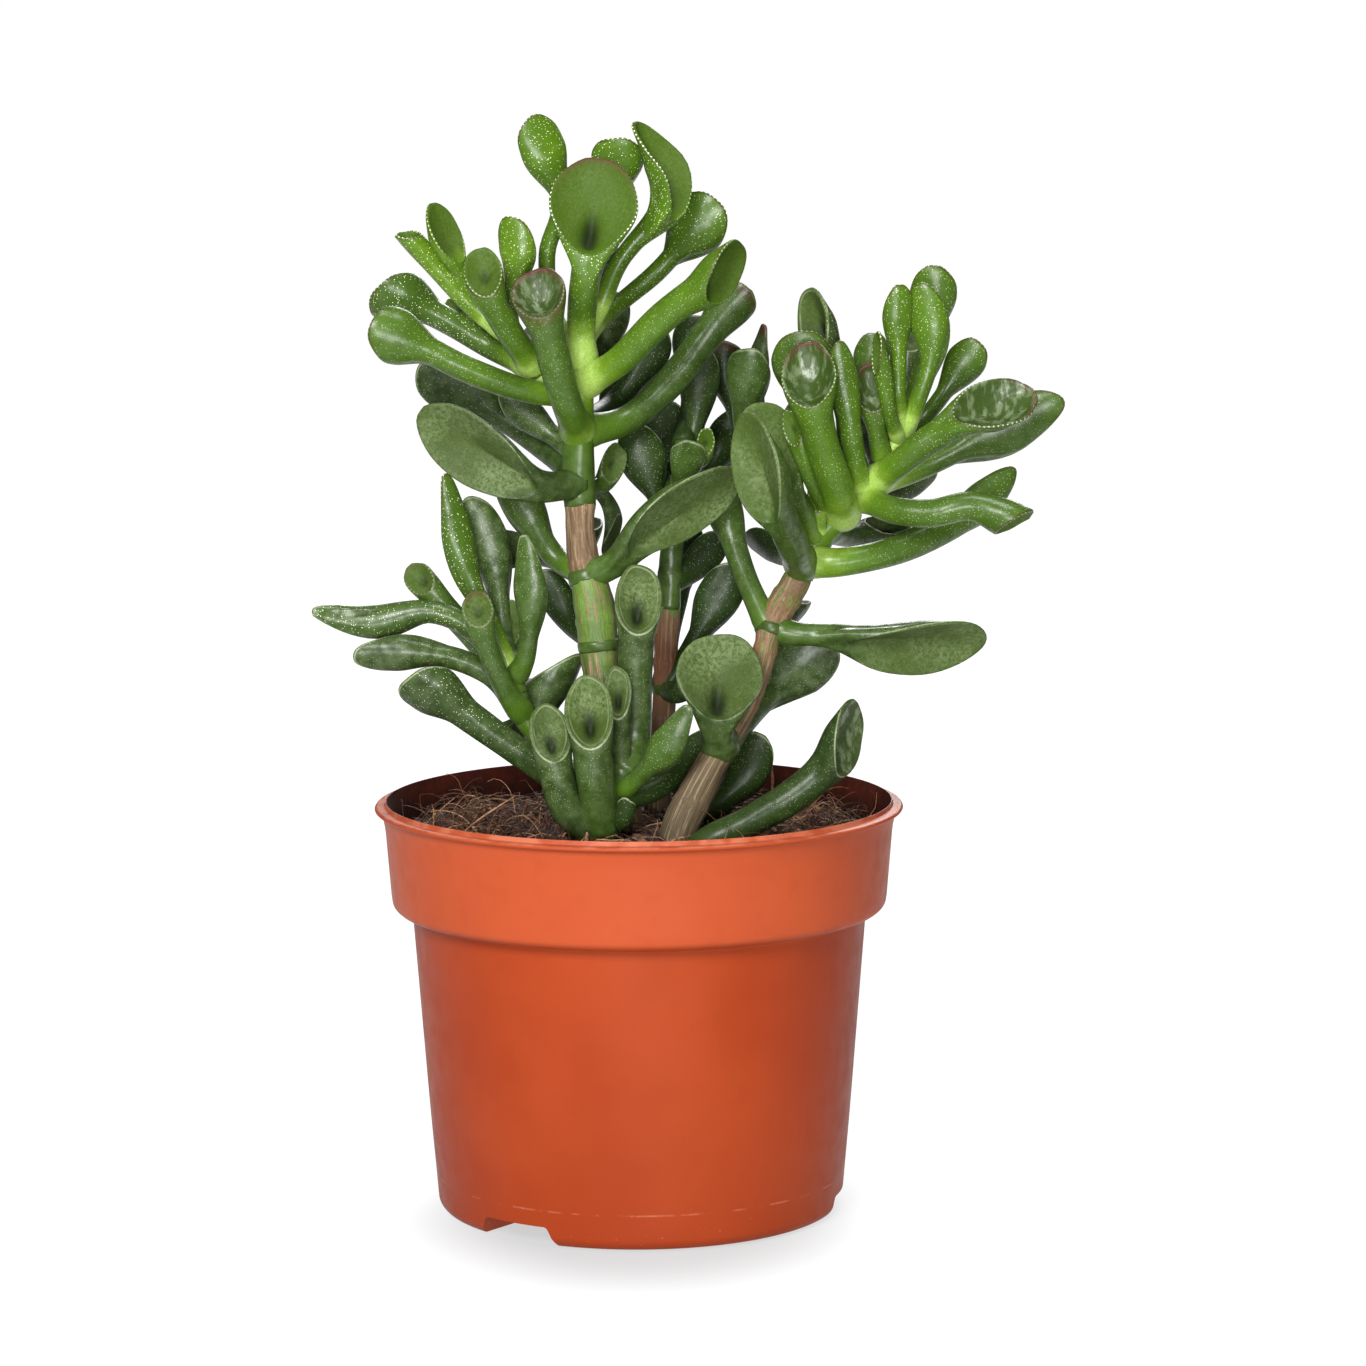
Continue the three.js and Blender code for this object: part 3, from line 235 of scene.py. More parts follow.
        [[-9, 129.5], [[-14.5, 133, 3]], [-21, 145.5, 8], 2, 3.8, 2, 14, 180, 0],
        [[-9, 127], [[-9, 128, 10]], [-8, 134, 22], 2.2, 4.4, 3, 10, 0, 50],
    ],
    "pair_right_low": [
        [[18.5, 105], [[17.6, 110, -19], [18.2, 117, -20]], [19.2, 130.8, -19], 3.4, 9.6, 4.8, 18, 3, 8],
        [[19, 105.6], [[27, 115, 0], [35, 123.5, 5]], [44, 130, 6], 2.8, 7.6, 3.6, 20, 170, 10],
    ],
    "pair_right_high": [
        [[29.5, 132.5], [[26.5, 139, -3], [23, 148, 2]], [17.5, 166, 11], 2.4, 4.4, 3.4, 13, 170, 0],
        [[30, 133], [[36, 131.2, -7], [46, 130.8, -8], [60, 128.2, -9]], [78.5, 127, -9],
         2.4, 7.8, 4.6, 31, 0, -36],
        [[30, 133], [[33, 134, 8]], [36.5, 141, 24], 2.3, 3.8, 3, 12, 0, 60],
    ],
    "pair_back": [
        [[6, 119], [[12, 128, 8]], [22, 147, 10], 2.2, 5.2, 2.6, 16, 180, 0],
        [[5.8, 119], [[9.5, 118, 2]], [17, 126, 1], 1.8, 3.5, 2.4, 10, 150, 20],
        [[6, 119], [[7, 131, 18], [9.5, 143, 24]], [11.5, 156, 28], 2.2, 4.6, 2.8, 12, 180, -10],
    ],
}
# A leaf pair grows round a trunk, joined in a collar at a height: (trunk, height).
LEAF_PAIRS = {
    "pair_left_high": ("trunk_left", 145),
    "pair_left_low": ("trunk_left", 129),
    "pair_right_low": ("trunk_right", 105),
    "pair_right_high": ("trunk_right", 132.5),
    "pair_back": ("trunk_back", 119),
}

# Grown leaves are dark and young ones bright, and the leaves hidden at the back are given dark tones as
# painted shade: 0 to 1 for each leaf, in the order of LEAVES.
TONES = {
    "crown_left": [.66, .72, .75, .55, .72, .75, .45, .62, .66, .66, .64, .62, .38, .55, .48, .14, .16, .2,
                   .4, .2, .1, .2, .1, .05, .2],
    "crown_right": [.35, .5, .4, .35, .2, .1, .64, .5, .3, .55, .5, .55, .5, .35, .3, .5, .42, .6, .6, .6,
                    .6, .55, .6, .8, .1, .15, .15, .2, .2, .25],
    "crown_back": [.35, .7, .12, .08, .05, .02, .05, .05, .05],
    "shoot_low_left": [.15, .25, .4, .25, .35, .42, .35, .5, .22, .4, .1, .1],
    "shoot_front": [.3, .22, .25, .25, .4, .1, .08],
    "shoot_right": [.12],
    "shoot_middle": [.08],
    "pair_left_high": [.4, .3, .25, .2],
    "pair_left_low": [.08, .1],
    "pair_right_low": [.24, .24],
    "pair_right_high": [.35, .3, .2],
    "pair_back": [.08, .15, .03],
}
# Leaves tinged reddish brown, counted from 0: at the tip, and from 0.7 up all round the mouth.
BLUSHES = {
    "crown_left": {6: .8, 7: .6, 12: .3},
    "crown_right": {4: .6, 5: .4, 6: .7, 11: .5, 15: .7},
    "shoot_low_left": {2: .4, 5: .15},
}
# Leaves whose pale dots stand out more or less than others of their age.
DOTTED = {
    "crown_left": {1: .5, 3: .35, 7: 1, 8: 1, 9: 1, 10: 1, 11: .35, 13: .35, 14: 1},
    "crown_right": {1: .4, 2: .5, 6: .4, 8: .9, 13: .6, 19: .5, 22: .3, 23: .3},
    "crown_back": {1: .3},
    "shoot_low_left": {0: .6, 3: .3, 4: .8, 5: .4, 7: 1},
}
# What the inside of a mouth looks like: how deep its bowl and its slot are, as shares of the leaf's
# half-thickness, where the slot lies from the heel (-1) to the tip (1), its half-width and half-length,
# how glossy it is, where 0 also draws a second pale line round the mouth, and how sharp the lip is
# at the heel.
Mouth = namedtuple("Mouth", "bowl slot place width length gloss heel")
FLAT = Mouth(0.16, 0.1, -0.5, 0.35, 0.5, 0.2, 0.0)
SPOON = Mouth(0.5, 0.45, -0.55, 0.22, 0.5, 0.2, 0.1)
DEEP = Mouth(0.4, 0.5, -0.25, 0.26, 0.42, 0.0, 1.0)
ROUND = Mouth(0.4, 0.3, 0.0, 0.34, 0.36, 0.4, 1.0)
SHINY = Mouth(0.5, 0.12, -0.1, 0.6, 0.6, 0.9, 0.8)
MOUTHS = {
    "crown_left": {1: FLAT, 6: SHINY, 7: SPOON, 9: FLAT, 11: SPOON, 15: FLAT, 16: FLAT},
    "crown_right": {0: FLAT, 2: FLAT, 6: SHINY, 8: DEEP, 11: SHINY, 12: SHINY, 15: SHINY, 19: SHINY},
    "shoot_low_left": {0: FLAT, 3: SHINY, 4: SHINY, 6: FLAT, 7: SHINY},
    "shoot_front": {0: DEEP, 1: DEEP, 2: DEEP, 3: DEEP},
    "shoot_right": {0: SHINY},
    "pair_left_high": {1: FLAT, 2: FLAT},
    "pair_right_low": {0: SPOON, 1: FLAT},
    "pair_right_high": {1: FLAT},
}
# How young the green stems look, as in TONES, at the foot and at the top.
STEM_TONES = {
    "crown_left": (.35, .98), "crown_right": (.68, 1), "crown_back": (.3, .3), "shoot_low_left": (.2, .6),
    "shoot_front": (.2, .3), "shoot_right": (.1, .1), "shoot_middle": (.1, .1),
}
COLLAR_TONE = .34
PAIR_COLLAR_HEIGHT = 4.0
PAIR_COLLAR_RIM = 0.4

# ------------------------ small tools


def unit(vectors):
    return vectors / np.maximum(np.linalg.norm(vectors, axis=-1, keepdims=True), 1e-12)


def smoothstep(x, low, high):
    t = np.clip((x - low) / (high - low), 0, 1)
    return t * t * (3 - 2 * t)


def lerp(a, b, t):
    return a + (b - a) * t


def drawn_to_world(x, z, depth):
    spread = (EYE_DISTANCE + depth) / EYE_DISTANCE
    return [EYE_X + (x - EYE_X) * spread, depth, EYE_Z + (z - EYE_Z) * spread]


def world_to_drawn(places):
    spread = (EYE_DISTANCE + places[..., 1]) / EYE_DISTANCE
    return EYE_X + (places[..., 0] - EYE_X) / spread, EYE_Z + (places[..., 2] - EYE_Z) / spread


def facing(turn, lift):
    """A direction in degrees: turned from the front to the right, and lifted from level."""
    t, l = math.radians(turn), math.radians(lift)
    return np.array([math.sin(t) * math.cos(l), -math.cos(t) * math.cos(l), math.sin(l)])


# ------------------------ curves

STATIONS = 160              # steps of equal length along a curve
SPAN_STEPS = 60             # steps between two points while a curve is measured
Curve = namedtuple("Curve", "places tangents params faces length")


def smooth_curve(points, face):
    """A Catmull-Rom curve, with the direction `face` carried from its far end down to its foot."""
    points = np.asarray(points, float)
    ends = 2 * points[0] - points[1], 2 * points[-1] - points[-2]
    p = np.vstack([ends[0], points, ends[1]])
    spans = len(points) - 1
    t = np.linspace(0, spans, spans * SPAN_STEPS + 1)
    i = np.minimum(t.astype(int), spans - 1)
    u = (t - i)[:, None]
    before, start, end, after = p[i], p[i + 1], p[i + 2], p[i + 3]
    m, n = (end - before) / 2, (after - start) / 2
    places = (start * (2 * u**3 - 3 * u**2 + 1) + m * (u**3 - 2 * u**2 + u)
              + end * (3 * u**2 - 2 * u**3) + n * (u**3 - u**2))
    slopes = (start * (6 * u**2 - 6 * u) + m * (3 * u**2 - 4 * u + 1)
              + end * (6 * u - 6 * u**2) + n * (3 * u**2 - 2 * u))
    run = np.concatenate([[0], np.cumsum(np.linalg.norm(np.diff(places, axis=0), axis=1))])
    even = np.linspace(0, run[-1], STATIONS + 1)
    spaced = [np.stack([np.interp(even, run, v[:, k]) for k in range(3)], 1) for v in (places, slopes)]
    tangents = unit(spaced[1])
    faces = np.empty_like(tangents)
    for k in range(STATIONS, -1, -1):
        face = face - tangents[k] * face.dot(tangents[k])
        face = face / np.linalg.norm(face)
        faces[k] = face
    return Curve(spaced[0], tangents, np.interp(even, run, t), faces, run[-1])


def along_curve(curve, t):
    """Place, face and side at the shares t of a curve's length."""
    x = np.clip(t, 0, 1) * STATIONS
    i = np.minimum(x.astype(int), STATIONS - 1)
    u = (x - i)[..., None]
    place, tangent, face = (lerp(v[i], v[i + 1], u) for v in (curve.places, curve.tangents, curve.faces))
    tangent = unit(tangent)
    face = unit(face - tangent * (face * tangent).sum(-1, keepdims=True))
    return place, face, np.cross(tangent, face)


def tube_rings(curve, t, x, y):
    """Points that lie x towards the face and y towards the side of a curve at the shares t."""
    place, face, side = along_curve(curve, t)
    return place + face * x[..., None] + side * y[..., None]


def stem_curve(rows):
    points = [drawn_to_world(*row[:3]) for row in rows]
    return smooth_curve(points, np.array([0.0, -1.0, 0.0]))


def root_on(curves, spot):
    """The point on the stems' midlines that looks nearest to the drawn spot."""
    places = np.vstack([curve.places for curve in curves])
    x, z = world_to_drawn(places)
    return places[np.argmin(np.hypot(x - spot[0], z - spot[1]))]


# ------------------------ meshes

FAR_OUT = -99.0             # distance from a rim, in mm, given to what has no rim
Patch = namedtuple("Patch", "verts faces fields dots")


def ring_patch(rings, first, last, fields, dots=None):
    """A skin over rings of points (rows, columns, 3), closed by a point at either end.

    Each field is a (rows, columns) array. `dots` is (rows, columns + 1, 2), kept for each corner.
    """
    rows, cols = rings.shape[:2]
    grid = np.arange(rows * cols).reshape(rows, cols)
    i, j = np.meshgrid(np.arange(rows - 1), np.arange(cols), indexing="ij")
    k = (j + 1) % cols
    quads = np.stack([grid[i, j], grid[i, k], grid[i + 1, k], grid[i + 1, j]], -1).reshape(-1, 4)
    foot, tip = rows * cols, rows * cols + 1
    c = np.arange(cols)
    d = (c + 1) % cols
    fan_low = np.stack([np.full(cols, foot), grid[0, d], grid[0, c]], -1)
    fan_high = np.stack([np.full(cols, tip), grid[-1, c], grid[-1, d]], -1)
    verts = np.vstack([rings.reshape(-1, 3), first, last])
    values = {}
    for name, value in fields.items():
        value = np.broadcast_to(np.asarray(value, float), (rows, cols))
        values[name] = np.concatenate([value.reshape(-1), [value[0].mean(), value[-1].mean()]])
    if dots is None:
        dots = np.broadcast_to(np.array([0.0, FAR_OUT]), (rows, cols + 1, 2))
    corners = np.stack([dots[i, j], dots[i, j + 1], dots[i + 1, j + 1], dots[i + 1, j]], -2).reshape(-1, 2)
    low = np.stack([dots[0, c], dots[0, c + 1], dots[0, c]], -2).reshape(-1, 2)
    high = np.stack([dots[-1, c], dots[-1, c], dots[-1, c + 1]], -2).reshape(-1, 2)
    return Patch(verts, [quads, fan_low, fan_high], values, np.vstack([corners, low, high]))


def add_object(name, data):
    thing = bpy.data.objects.new(name, data)
    bpy.context.scene.collection.objects.link(thing)
    return thing


def mesh_of(name, patches, material):
    """One object from several patches, in metres, shaded smooth."""
    verts, loops, sizes = [], [], []
    base = 0
    for patch in patches:
        for faces in patch.faces:
            loops.append((faces + base).reshape(-1))
            sizes.append(np.full(len(faces), faces.shape[1]))
        verts.append(patch.verts)
        base += len(patch.verts)
    verts, loops, sizes = np.vstack(verts), np.concatenate(loops), np.concatenate(sizes)
    mesh = bpy.data.meshes.new(name)
    mesh.vertices.add(len(verts))
    mesh.vertices.foreach_set("co", (verts * MM).astype(np.float32).reshape(-1))
    mesh.loops.add(len(loops))
    mesh.loops.foreach_set("vertex_index", loops.astype(np.int32))
    mesh.polygons.add(len(sizes))
    starts = np.concatenate([[0], np.cumsum(sizes)[:-1]]).astype(np.int32)
    mesh.polygons.foreach_set("loop_start", starts)
    mesh.polygons.foreach_set("use_smooth", np.ones(len(sizes), bool))
    mesh.update(calc_edges=True)
    for field in patches[0].fields:
        values = np.concatenate([patch.fields[field] for patch in patches])
        mesh.attributes.new(field, "FLOAT", "POINT").data.foreach_set("value", values.astype(np.float32))
    dots = np.vstack([patch.dots for patch in patches])
    dots = np.column_stack([dots, np.zeros(len(dots))]).astype(np.float32)
    mesh.attributes.new("rimdots", "FLOAT_VECTOR", "CORNER").data.foreach_set("vector", dots.reshape(-1))
    mesh.validate()
    mesh.materials.append(material)
    return add_object(name, mesh)


def place_piece(thing, slot, *nodes):
    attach(thing, "root")
    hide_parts(*nodes)


# ------------------------ stems

# How woody a trunk looks at some heights, and how red its bark is: (height, bark, redness).
BARKS = {
    "trunk_left": [(84, .9, .3), (112, .8, .2), (120, .42, .1), (145, .4, .1), (147, .95, .15),
                   (160, .95, .15)],
    "trunk_right": [(84, .95, .1), (112, .85, .2), (118, .7, .8), (130, .55, .9), (136, .65, .5),
                    (144, .65, .2)],
    "trunk_back": [(84, .9, .8), (132, .9, .9), (137, .4, .4)],
}
STEM_SIDES = 28
STEM_STEP = 0.9             # distance between the rings of a stem
STEM_DOME = 1.2             # height of its rounded top
STEM_GREENING = 8, 30       # heights over its foot between which a green stem turns younger
SCAR_SPACING = 13.0         # distance between the rings that fallen leaves left on a stem
SCAR_WIDTH, SCAR_HEIGHT, TRUNK_SCAR_HEIGHT = 0.9, 0.25, 0.3
DIP_SHIFT, DIP_WIDTH = 1.6, 0.8             # the shallow dip that follows each ring
# Slow swells: their height, how many go round the stem, how they turn along it, and their shift.
SWELLS = [(0.1, 2, 0.11, 1), (0.07, 3, -0.23, 2)]
BARK_DEPTH = 0.16           # depth of the wrinkles in bark
# Wrinkles in bark: their share, and how close they lie round the stem and along it.
WRINKLES = [(1.0, 2.6, 0.16), (0.6, 6, 0.3)]


def bark_fields(name):
    heights, bark, redness = zip(*BARKS[name])
    return lambda z: {"bark": np.interp(z, heights, bark), "redness": np.interp(z, heights, redness)}


def skin_fields(foot_tone, top_tone, foot):
    """What a green stem, whose foot is at the height `foot`, keeps for the leaf material."""
    return lambda z: {"tone": lerp(foot_tone, top_tone, smoothstep(z - foot, *STEM_GREENING)),
                      "along": 0.3, "rim": FAR_OUT, "cup": 0.0, "blush": 0.0, "gloss": 0.0,
                      "dotted": 0.0, "lipped": 0.0}


def radius_along(rows, curve, t):
    station = np.interp(t * STATIONS, np.arange(STATIONS + 1), curve.params)
    return np.interp(station, np.arange(len(rows)), [row[3] for row in rows])


def scars(run, phi, shift, height):
    """How far the rings of fallen leaves stand out at the lengths `run` along a stem."""
    off = (run + shift * 1.7) % SCAR_SPACING - SCAR_SPACING / 2
    dip = np.exp(-((off - DIP_SHIFT) / DIP_WIDTH) ** 2)
    ring = height * np.exp(-(off / SCAR_WIDTH) ** 2) - 0.5 * height * dip
    return ring[:, None] * (0.75 + 0.25 * np.sin(phi * 3 + run[:, None] * 0.4))


def wrinkle(angle, run, phase):
    """How far bark stands out, from about -1 to 1, at a place round and along a stem."""
    x, y = math.cos(angle), math.sin(angle)
    return sum(share * noise.noise(Vector((x * across, y * across, run * along + phase)))
               for share, across, along in WRINKLES)


def stem_patch(rows, fields, bark=0.0, scar=SCAR_HEIGHT):
    """A stem with a domed top. `bark` is the depth of its wrinkles and `scar` the height of its rings.

    `fields` gives the values kept for the material at each height. A stem with bark also keeps its
    points as they would lie if it stood straight.
    """
    curve = stem_curve(rows)
    t = np.linspace(0, 1, max(8, int(curve.length / STEM_STEP)) + 1)
    phi = np.linspace(-math.pi, math.pi, STEM_SIDES, endpoint=False)
    run = t * curve.length
    phase = rows[0][0] + rows[-1][1]
    radius = radius_along(rows, curve, t)[:, None] + scars(run, phi, rows[0][0], scar)
    for height, number, twist, shift in SWELLS:
        radius = radius + height * np.sin(number * phi + run[:, None] * twist + phase * shift)
    if bark:
        radius = radius + bark * np.array([[wrinkle(p, r, phase) for p in phi] for r in run])
    into_dome = np.clip((run - run[-1] + STEM_DOME) / STEM_DOME, 0, 1)
    radius = radius * np.sqrt(np.clip(1 - into_dome ** 2, 0.02, 1))[:, None]
    x, y = np.cos(phi) * radius, np.sin(phi) * radius
    rings = tube_rings(curve, t[:, None], x, y)
    values = fields(rings[..., 2])
    if bark:
        values.update(grain_x=x, grain_y=y, grain_z=run[:, None])
    return ring_patch(rings, curve.places[0], curve.places[-1], values)


# ------------------------ leaves

LEAF_COLUMNS = 40
SKIN_ROWS = 30
LIP_ROWS = 5
CUP_ROWS = 14
PHI = np.linspace(-math.pi, math.pi, LEAF_COLUMNS, endpoint=False)      # 0 at the heel of the mouth
HEEL, QUARTER = LEAF_COLUMNS // 2, LEAF_COLUMNS // 4    # the column at the heel, and columns in a quarter
BLUNT_MOUTHS = 12, 26       # lengths of mouth between which the outline of its tip grows blunter
EDGE_WAVE = 0.25            # height of the waves along the edge of a mouth
STALK_GROWTH = 0.25         # the share by which a stalk widens from its foot to the tip
FOOT_SWELL, FOOT_LENGTH = 0.3, 2.5          # the share by which its foot is thicker, and over what length
FLARE_SHARE, SHORTEST_FLARE = 0.6, 9        # length of its flare: a share of the mouth, and the least
RIPPLE = 0.018              # share by which a leaf's thickness varies along it
GROOVE_DEPTH, GROOVE_LENGTH = 0.3, 9        # of the groove that leads into a long mouth
GROOVED_MOUTHS = 13, 19     # lengths of mouth between which that groove deepens
BEAD_SHARE, LARGEST_BEAD = 0.1, 0.45        # radius of the lip: a share of the half-width, and the most
LEAST_ROLL, MOST_ROLL = 1.4, 2.9            # angles by which the lip rolls in
DEEPEST_CUP = 0.55          # the most that a cup sinks at its middle, as a share of the half-thickness
DOT_SPACING = 1.1           # distance between the pale dots along a rim


def mouth_edge(leaf, length, wave):
    """Where the heel, the edge all round and the widest part of a mouth lie, as shares of the length."""
    heel = 1 - leaf.mouth / length
    blunt = 1 - 0.15 * smoothstep(leaf.mouth, *BLUNT_MOUTHS)
    edge = heel + (1 - heel) * ((1 - np.cos(PHI)) / 2) ** blunt
    waves = np.sin(2 * PHI + wave[0]) + 0.7 * np.sin(5 * PHI + wave[1])
    edge = edge + EDGE_WAVE / length * waves * np.sin(PHI / 2) ** 2
    widest = heel + (1 - heel) * 0.5 ** blunt
    return heel, edge, lerp(np.minimum(edge, widest), widest, 0.35)


def skin_rings(leaf, curve, wave, shares):
    """Rings of the outer skin at shares of the way to the edge, and how far along the leaf they are."""
    length = curve.length
    heel, edge, widest = mouth_edge(leaf, length, wave)
    t = shares[:, None] * edge
    run = t * length
    flare = max(SHORTEST_FLARE, FLARE_SHARE * leaf.mouth) / length
    growth = smoothstep(t, widest - flare, widest)
    foot = np.exp(-np.maximum(run - 3, 0) / FOOT_LENGTH)
    stalk = leaf.neck * (1 + STALK_GROWTH * t) * (1 + FOOT_SWELL * foot)
    taper = 1 - 0.7 * leaf.point * smoothstep(t, heel, 1)
    ripple = 1 + RIPPLE * (np.sin(run * 0.31 + 2 * PHI + wave[2]) + np.sin(run * 0.17 - PHI + wave[3]))
    groove = GROOVE_DEPTH * smoothstep(leaf.mouth, *GROOVED_MOUTHS) * np.exp(-(PHI / 0.4) ** 2)
    groove = groove * smoothstep(t, heel - GROOVE_LENGTH / length, heel)
    thickness = lerp(stalk, leaf.half_thickness, growth) * taper * ripple * (1 - groove)
    width = lerp(stalk, leaf.half_width, growth) * taper * ripple
    return tube_rings(curve, t, np.cos(PHI) * thickness, np.sin(PHI) * width), t


def lip_rings(leaf, rim, before, lipped):
    """Rings of the lip that rolls in from the rim. `before` is the ring of skin just under the rim."""
    turning = np.roll(rim, -1, 0) - np.roll(rim, 1, 0)
    out = unit(np.cross(turning, rim - before))
    up = unit(np.cross(out, turning))
    bead = min(LARGEST_BEAD, BEAD_SHARE * leaf.half_width) * lerp(0.3, 1, lipped)
    to_middle = unit(lerp(rim[0], rim[HEEL], 0.5) - rim)
    bend = np.arctan2(-(to_middle * out).sum(1), (to_middle * up).sum(1))
    bend = np.clip(bend + 0.6, LEAST_ROLL, MOST_ROLL)
    turns = np.linspace(0, 1, LIP_ROWS + 1)[1:, None] * bend
    return rim + up * (bead * np.sin(turns))[..., None] - out * (bead * (1 - np.cos(turns)))[..., None]


def cup_rings(leaf, kind, rim, lip_end):
    """Rings of the mouth's hollow from the lip to its bottom, and how far in the slot they are."""
    front, back = rim[HEEL], rim[0]
    across = rim[HEEL + QUARTER] - rim[HEEL - QUARTER]
    inward = unit(np.cross(across, front - back))
    middle = lerp(back, front, 0.5)
    closeness = np.linspace(1, 0, CUP_ROWS + 2)[1:, None, None]
    cup = middle + (lip_end - middle) * closeness
    x = ((cup - middle) @ unit(across)) / (np.linalg.norm(across) / 2)
    y = ((cup - middle) @ unit(back - front)) / (np.linalg.norm(back - front) / 2)
    bowl = kind.bowl * (1 - closeness[..., 0] ** 2.5)
    slot = np.exp(-(x / kind.width) ** 2 - ((y - kind.place) / kind.length) ** 2)
    slot = slot * smoothstep(1 - closeness[..., 0], 0.0, 0.2)
    depth = leaf.half_thickness * np.minimum(bowl + kind.slot * slot, DEEPEST_CUP * (1.15 - y))
    return cup + inward * depth[..., None], slot


def leaf_patch(curves, leaf, tone, blush, dotted, kind, seed):
    """A leaf's skin, lip and cup in one closed patch, with the values that its material reads."""
    points = [root_on(curves, leaf.root), *[drawn_to_world(*p) for p in leaf.via], drawn_to_world(*leaf.tip)]
    curve = smooth_curve(points, facing(leaf.turn, leaf.lift))
    wave = np.random.default_rng(seed).uniform(0, 2 * math.pi, 4)
    body, t = skin_rings(leaf, curve, wave, np.linspace(0, 1, SKIN_ROWS))
    rim, before = body[-1], skin_rings(leaf, curve, wave, np.array([0.97]))[0][0]
    lipped = lerp(kind.heel, 1, smoothstep(np.abs(PHI), 0.2, 1.6))
    lip = lip_rings(leaf, rim, before, lipped)
    cup, slot = cup_rings(leaf, kind, rim, lip[-1])
    rings = np.concatenate([body, lip, cup[:-1]])

    steps = np.linalg.norm(np.diff(rings, axis=0), axis=2)
    run = np.concatenate([np.zeros((1, LEAF_COLUMNS)), np.cumsum(steps, axis=0)])
    rim_distance = run - run[SKIN_ROWS - 1]
    slot_shade = np.zeros((len(rings), LEAF_COLUMNS))
    # The material darkens the slot by this, more in deeper slots: painted shade.
    slot_shade[-CUP_ROWS:] = slot[:-1] * min(1.0, 1.6 * kind.slot)
    along = np.ones_like(slot_shade)
    along[:SKIN_ROWS] = t
    tipness = lerp(smoothstep(np.abs(PHI), 1.6, 2.9), 1, smoothstep(blush, 0.7, 1.0))
    fields = {"tone": tone, "along": along, "rim": rim_distance, "cup": slot_shade, "blush": blush * tipness,
              "gloss": kind.gloss, "dotted": dotted, "lipped": lipped}

    arc = np.concatenate([[0], np.cumsum(np.linalg.norm(np.roll(rim, -1, 0) - rim, axis=1))])
    count = arc / arc[-1] * round(arc[-1] / DOT_SPACING)
    wrapped = np.concatenate([rim_distance, rim_distance[:, :1]], axis=1)
    dots = np.stack([np.broadcast_to(count, wrapped.shape), wrapped], -1)
    return ring_patch(rings, curve.places[0], cup[-1].mean(0), fields, dots)


# ------------------------ sprays and pairs


LONG_MOUTH = 17             # a longer mouth is a spoon and a shorter one round, where MOUTHS says nothing
DOTTED_TONES = 0.45, 0.7    # tones between which the pale dots go from faint to strong
FAINT_DOTS, STRONG_DOTS = 0.25, 0.95
COLLAR_BULGE = (0.05, 0.75, 1, 0.75, 0.05)  # shares of PAIR_COLLAR_RIM from the foot of a collar up


def of_leaf(table, name, index, default):
    """What a table of special leaves says about one leaf, or else the default."""
    return table.get(name, {}).get(index, default)


def leaf_patches(name, curves):
    patches = []
    for index, row in enumerate(LEAVES[name]):
        leaf, tone = Leaf(*row), TONES[name][index]
        blush = of_leaf(BLUSHES, name, index, 0.0)
        usual_dots = lerp(FAINT_DOTS, STRONG_DOTS, smoothstep(tone, *DOTTED_TONES))
        dotted = of_leaf(DOTTED, name, index, usual_dots)
        kind = of_leaf(MOUTHS, name, index, SPOON if leaf.mouth > LONG_MOUTH else ROUND)
        seed = [len(name), ord(name[-1]), index]
        patches.append(leaf_patch(curves, leaf, tone, blush, dotted, kind, seed))
    return patches


def make_spray(name, material):
    stems = STEMS[name]
    skin = skin_fields(*STEM_TONES[name], foot=stems[0][0][1])
    patches = [stem_patch(rows, skin) for rows in stems]
    patches += leaf_patches(name, [stem_curve(rows) for rows in stems])
    place_piece(mesh_of("leaves_" + name, patches, material), "leaf", name)


def collar_rows(trunk, low, high):
    """The stretch of a trunk between two drawn heights, bulging in the middle."""
    curve = stem_curve(trunk)
    x, z = world_to_drawn(curve.places)
    inside = np.flatnonzero((z >= low) & (z <= high))
    picks = np.linspace(inside[0], inside[-1], len(COLLAR_BULGE)).astype(int)
    heights = [row[1] for row in trunk]
    rows = []
    for pick, rim in zip(picks, COLLAR_BULGE):
        radius = np.interp(z[pick], heights, [row[3] for row in trunk])
        rows.append((x[pick], z[pick], curve.places[pick][1], radius + rim * PAIR_COLLAR_RIM))
    return rows


def make_pair(name, material):
    trunk_name, middle = LEAF_PAIRS[name]
    trunk, low = TRUNKS[trunk_name], middle - PAIR_COLLAR_HEIGHT / 2
    skin = skin_fields(COLLAR_TONE, COLLAR_TONE, low)
    collar = stem_patch(collar_rows(trunk, low, low + PAIR_COLLAR_HEIGHT), skin, scar=0.0)
    patches = [collar] + leaf_patches(name, [stem_curve(trunk)])
    place_piece(mesh_of("leaves_" + name, patches, material), "leaf", name)


def make_trunk(name, material):
    patch = stem_patch(TRUNKS[name], bark_fields(name), BARK_DEPTH, TRUNK_SCAR_HEIGHT)
    place_piece(mesh_of("stem_" + name, [patch], material), "bark", name)


# ------------------------ pot

POT_SIDES = 288
FILLET_STEPS = 6
FILLET_SHARE = 0.42         # the most of a straight that the fillet at one end of it may take up
SUPPORT = 0.35              # distance from a fillet to the extra loop that keeps the flat beside it flat
SHARP_EDGE = 32             # degrees from which an edge of the pot is shaded sharp
WALL_AT_SOIL = 55.9         # radius inside the wall at the height of the soil's edge


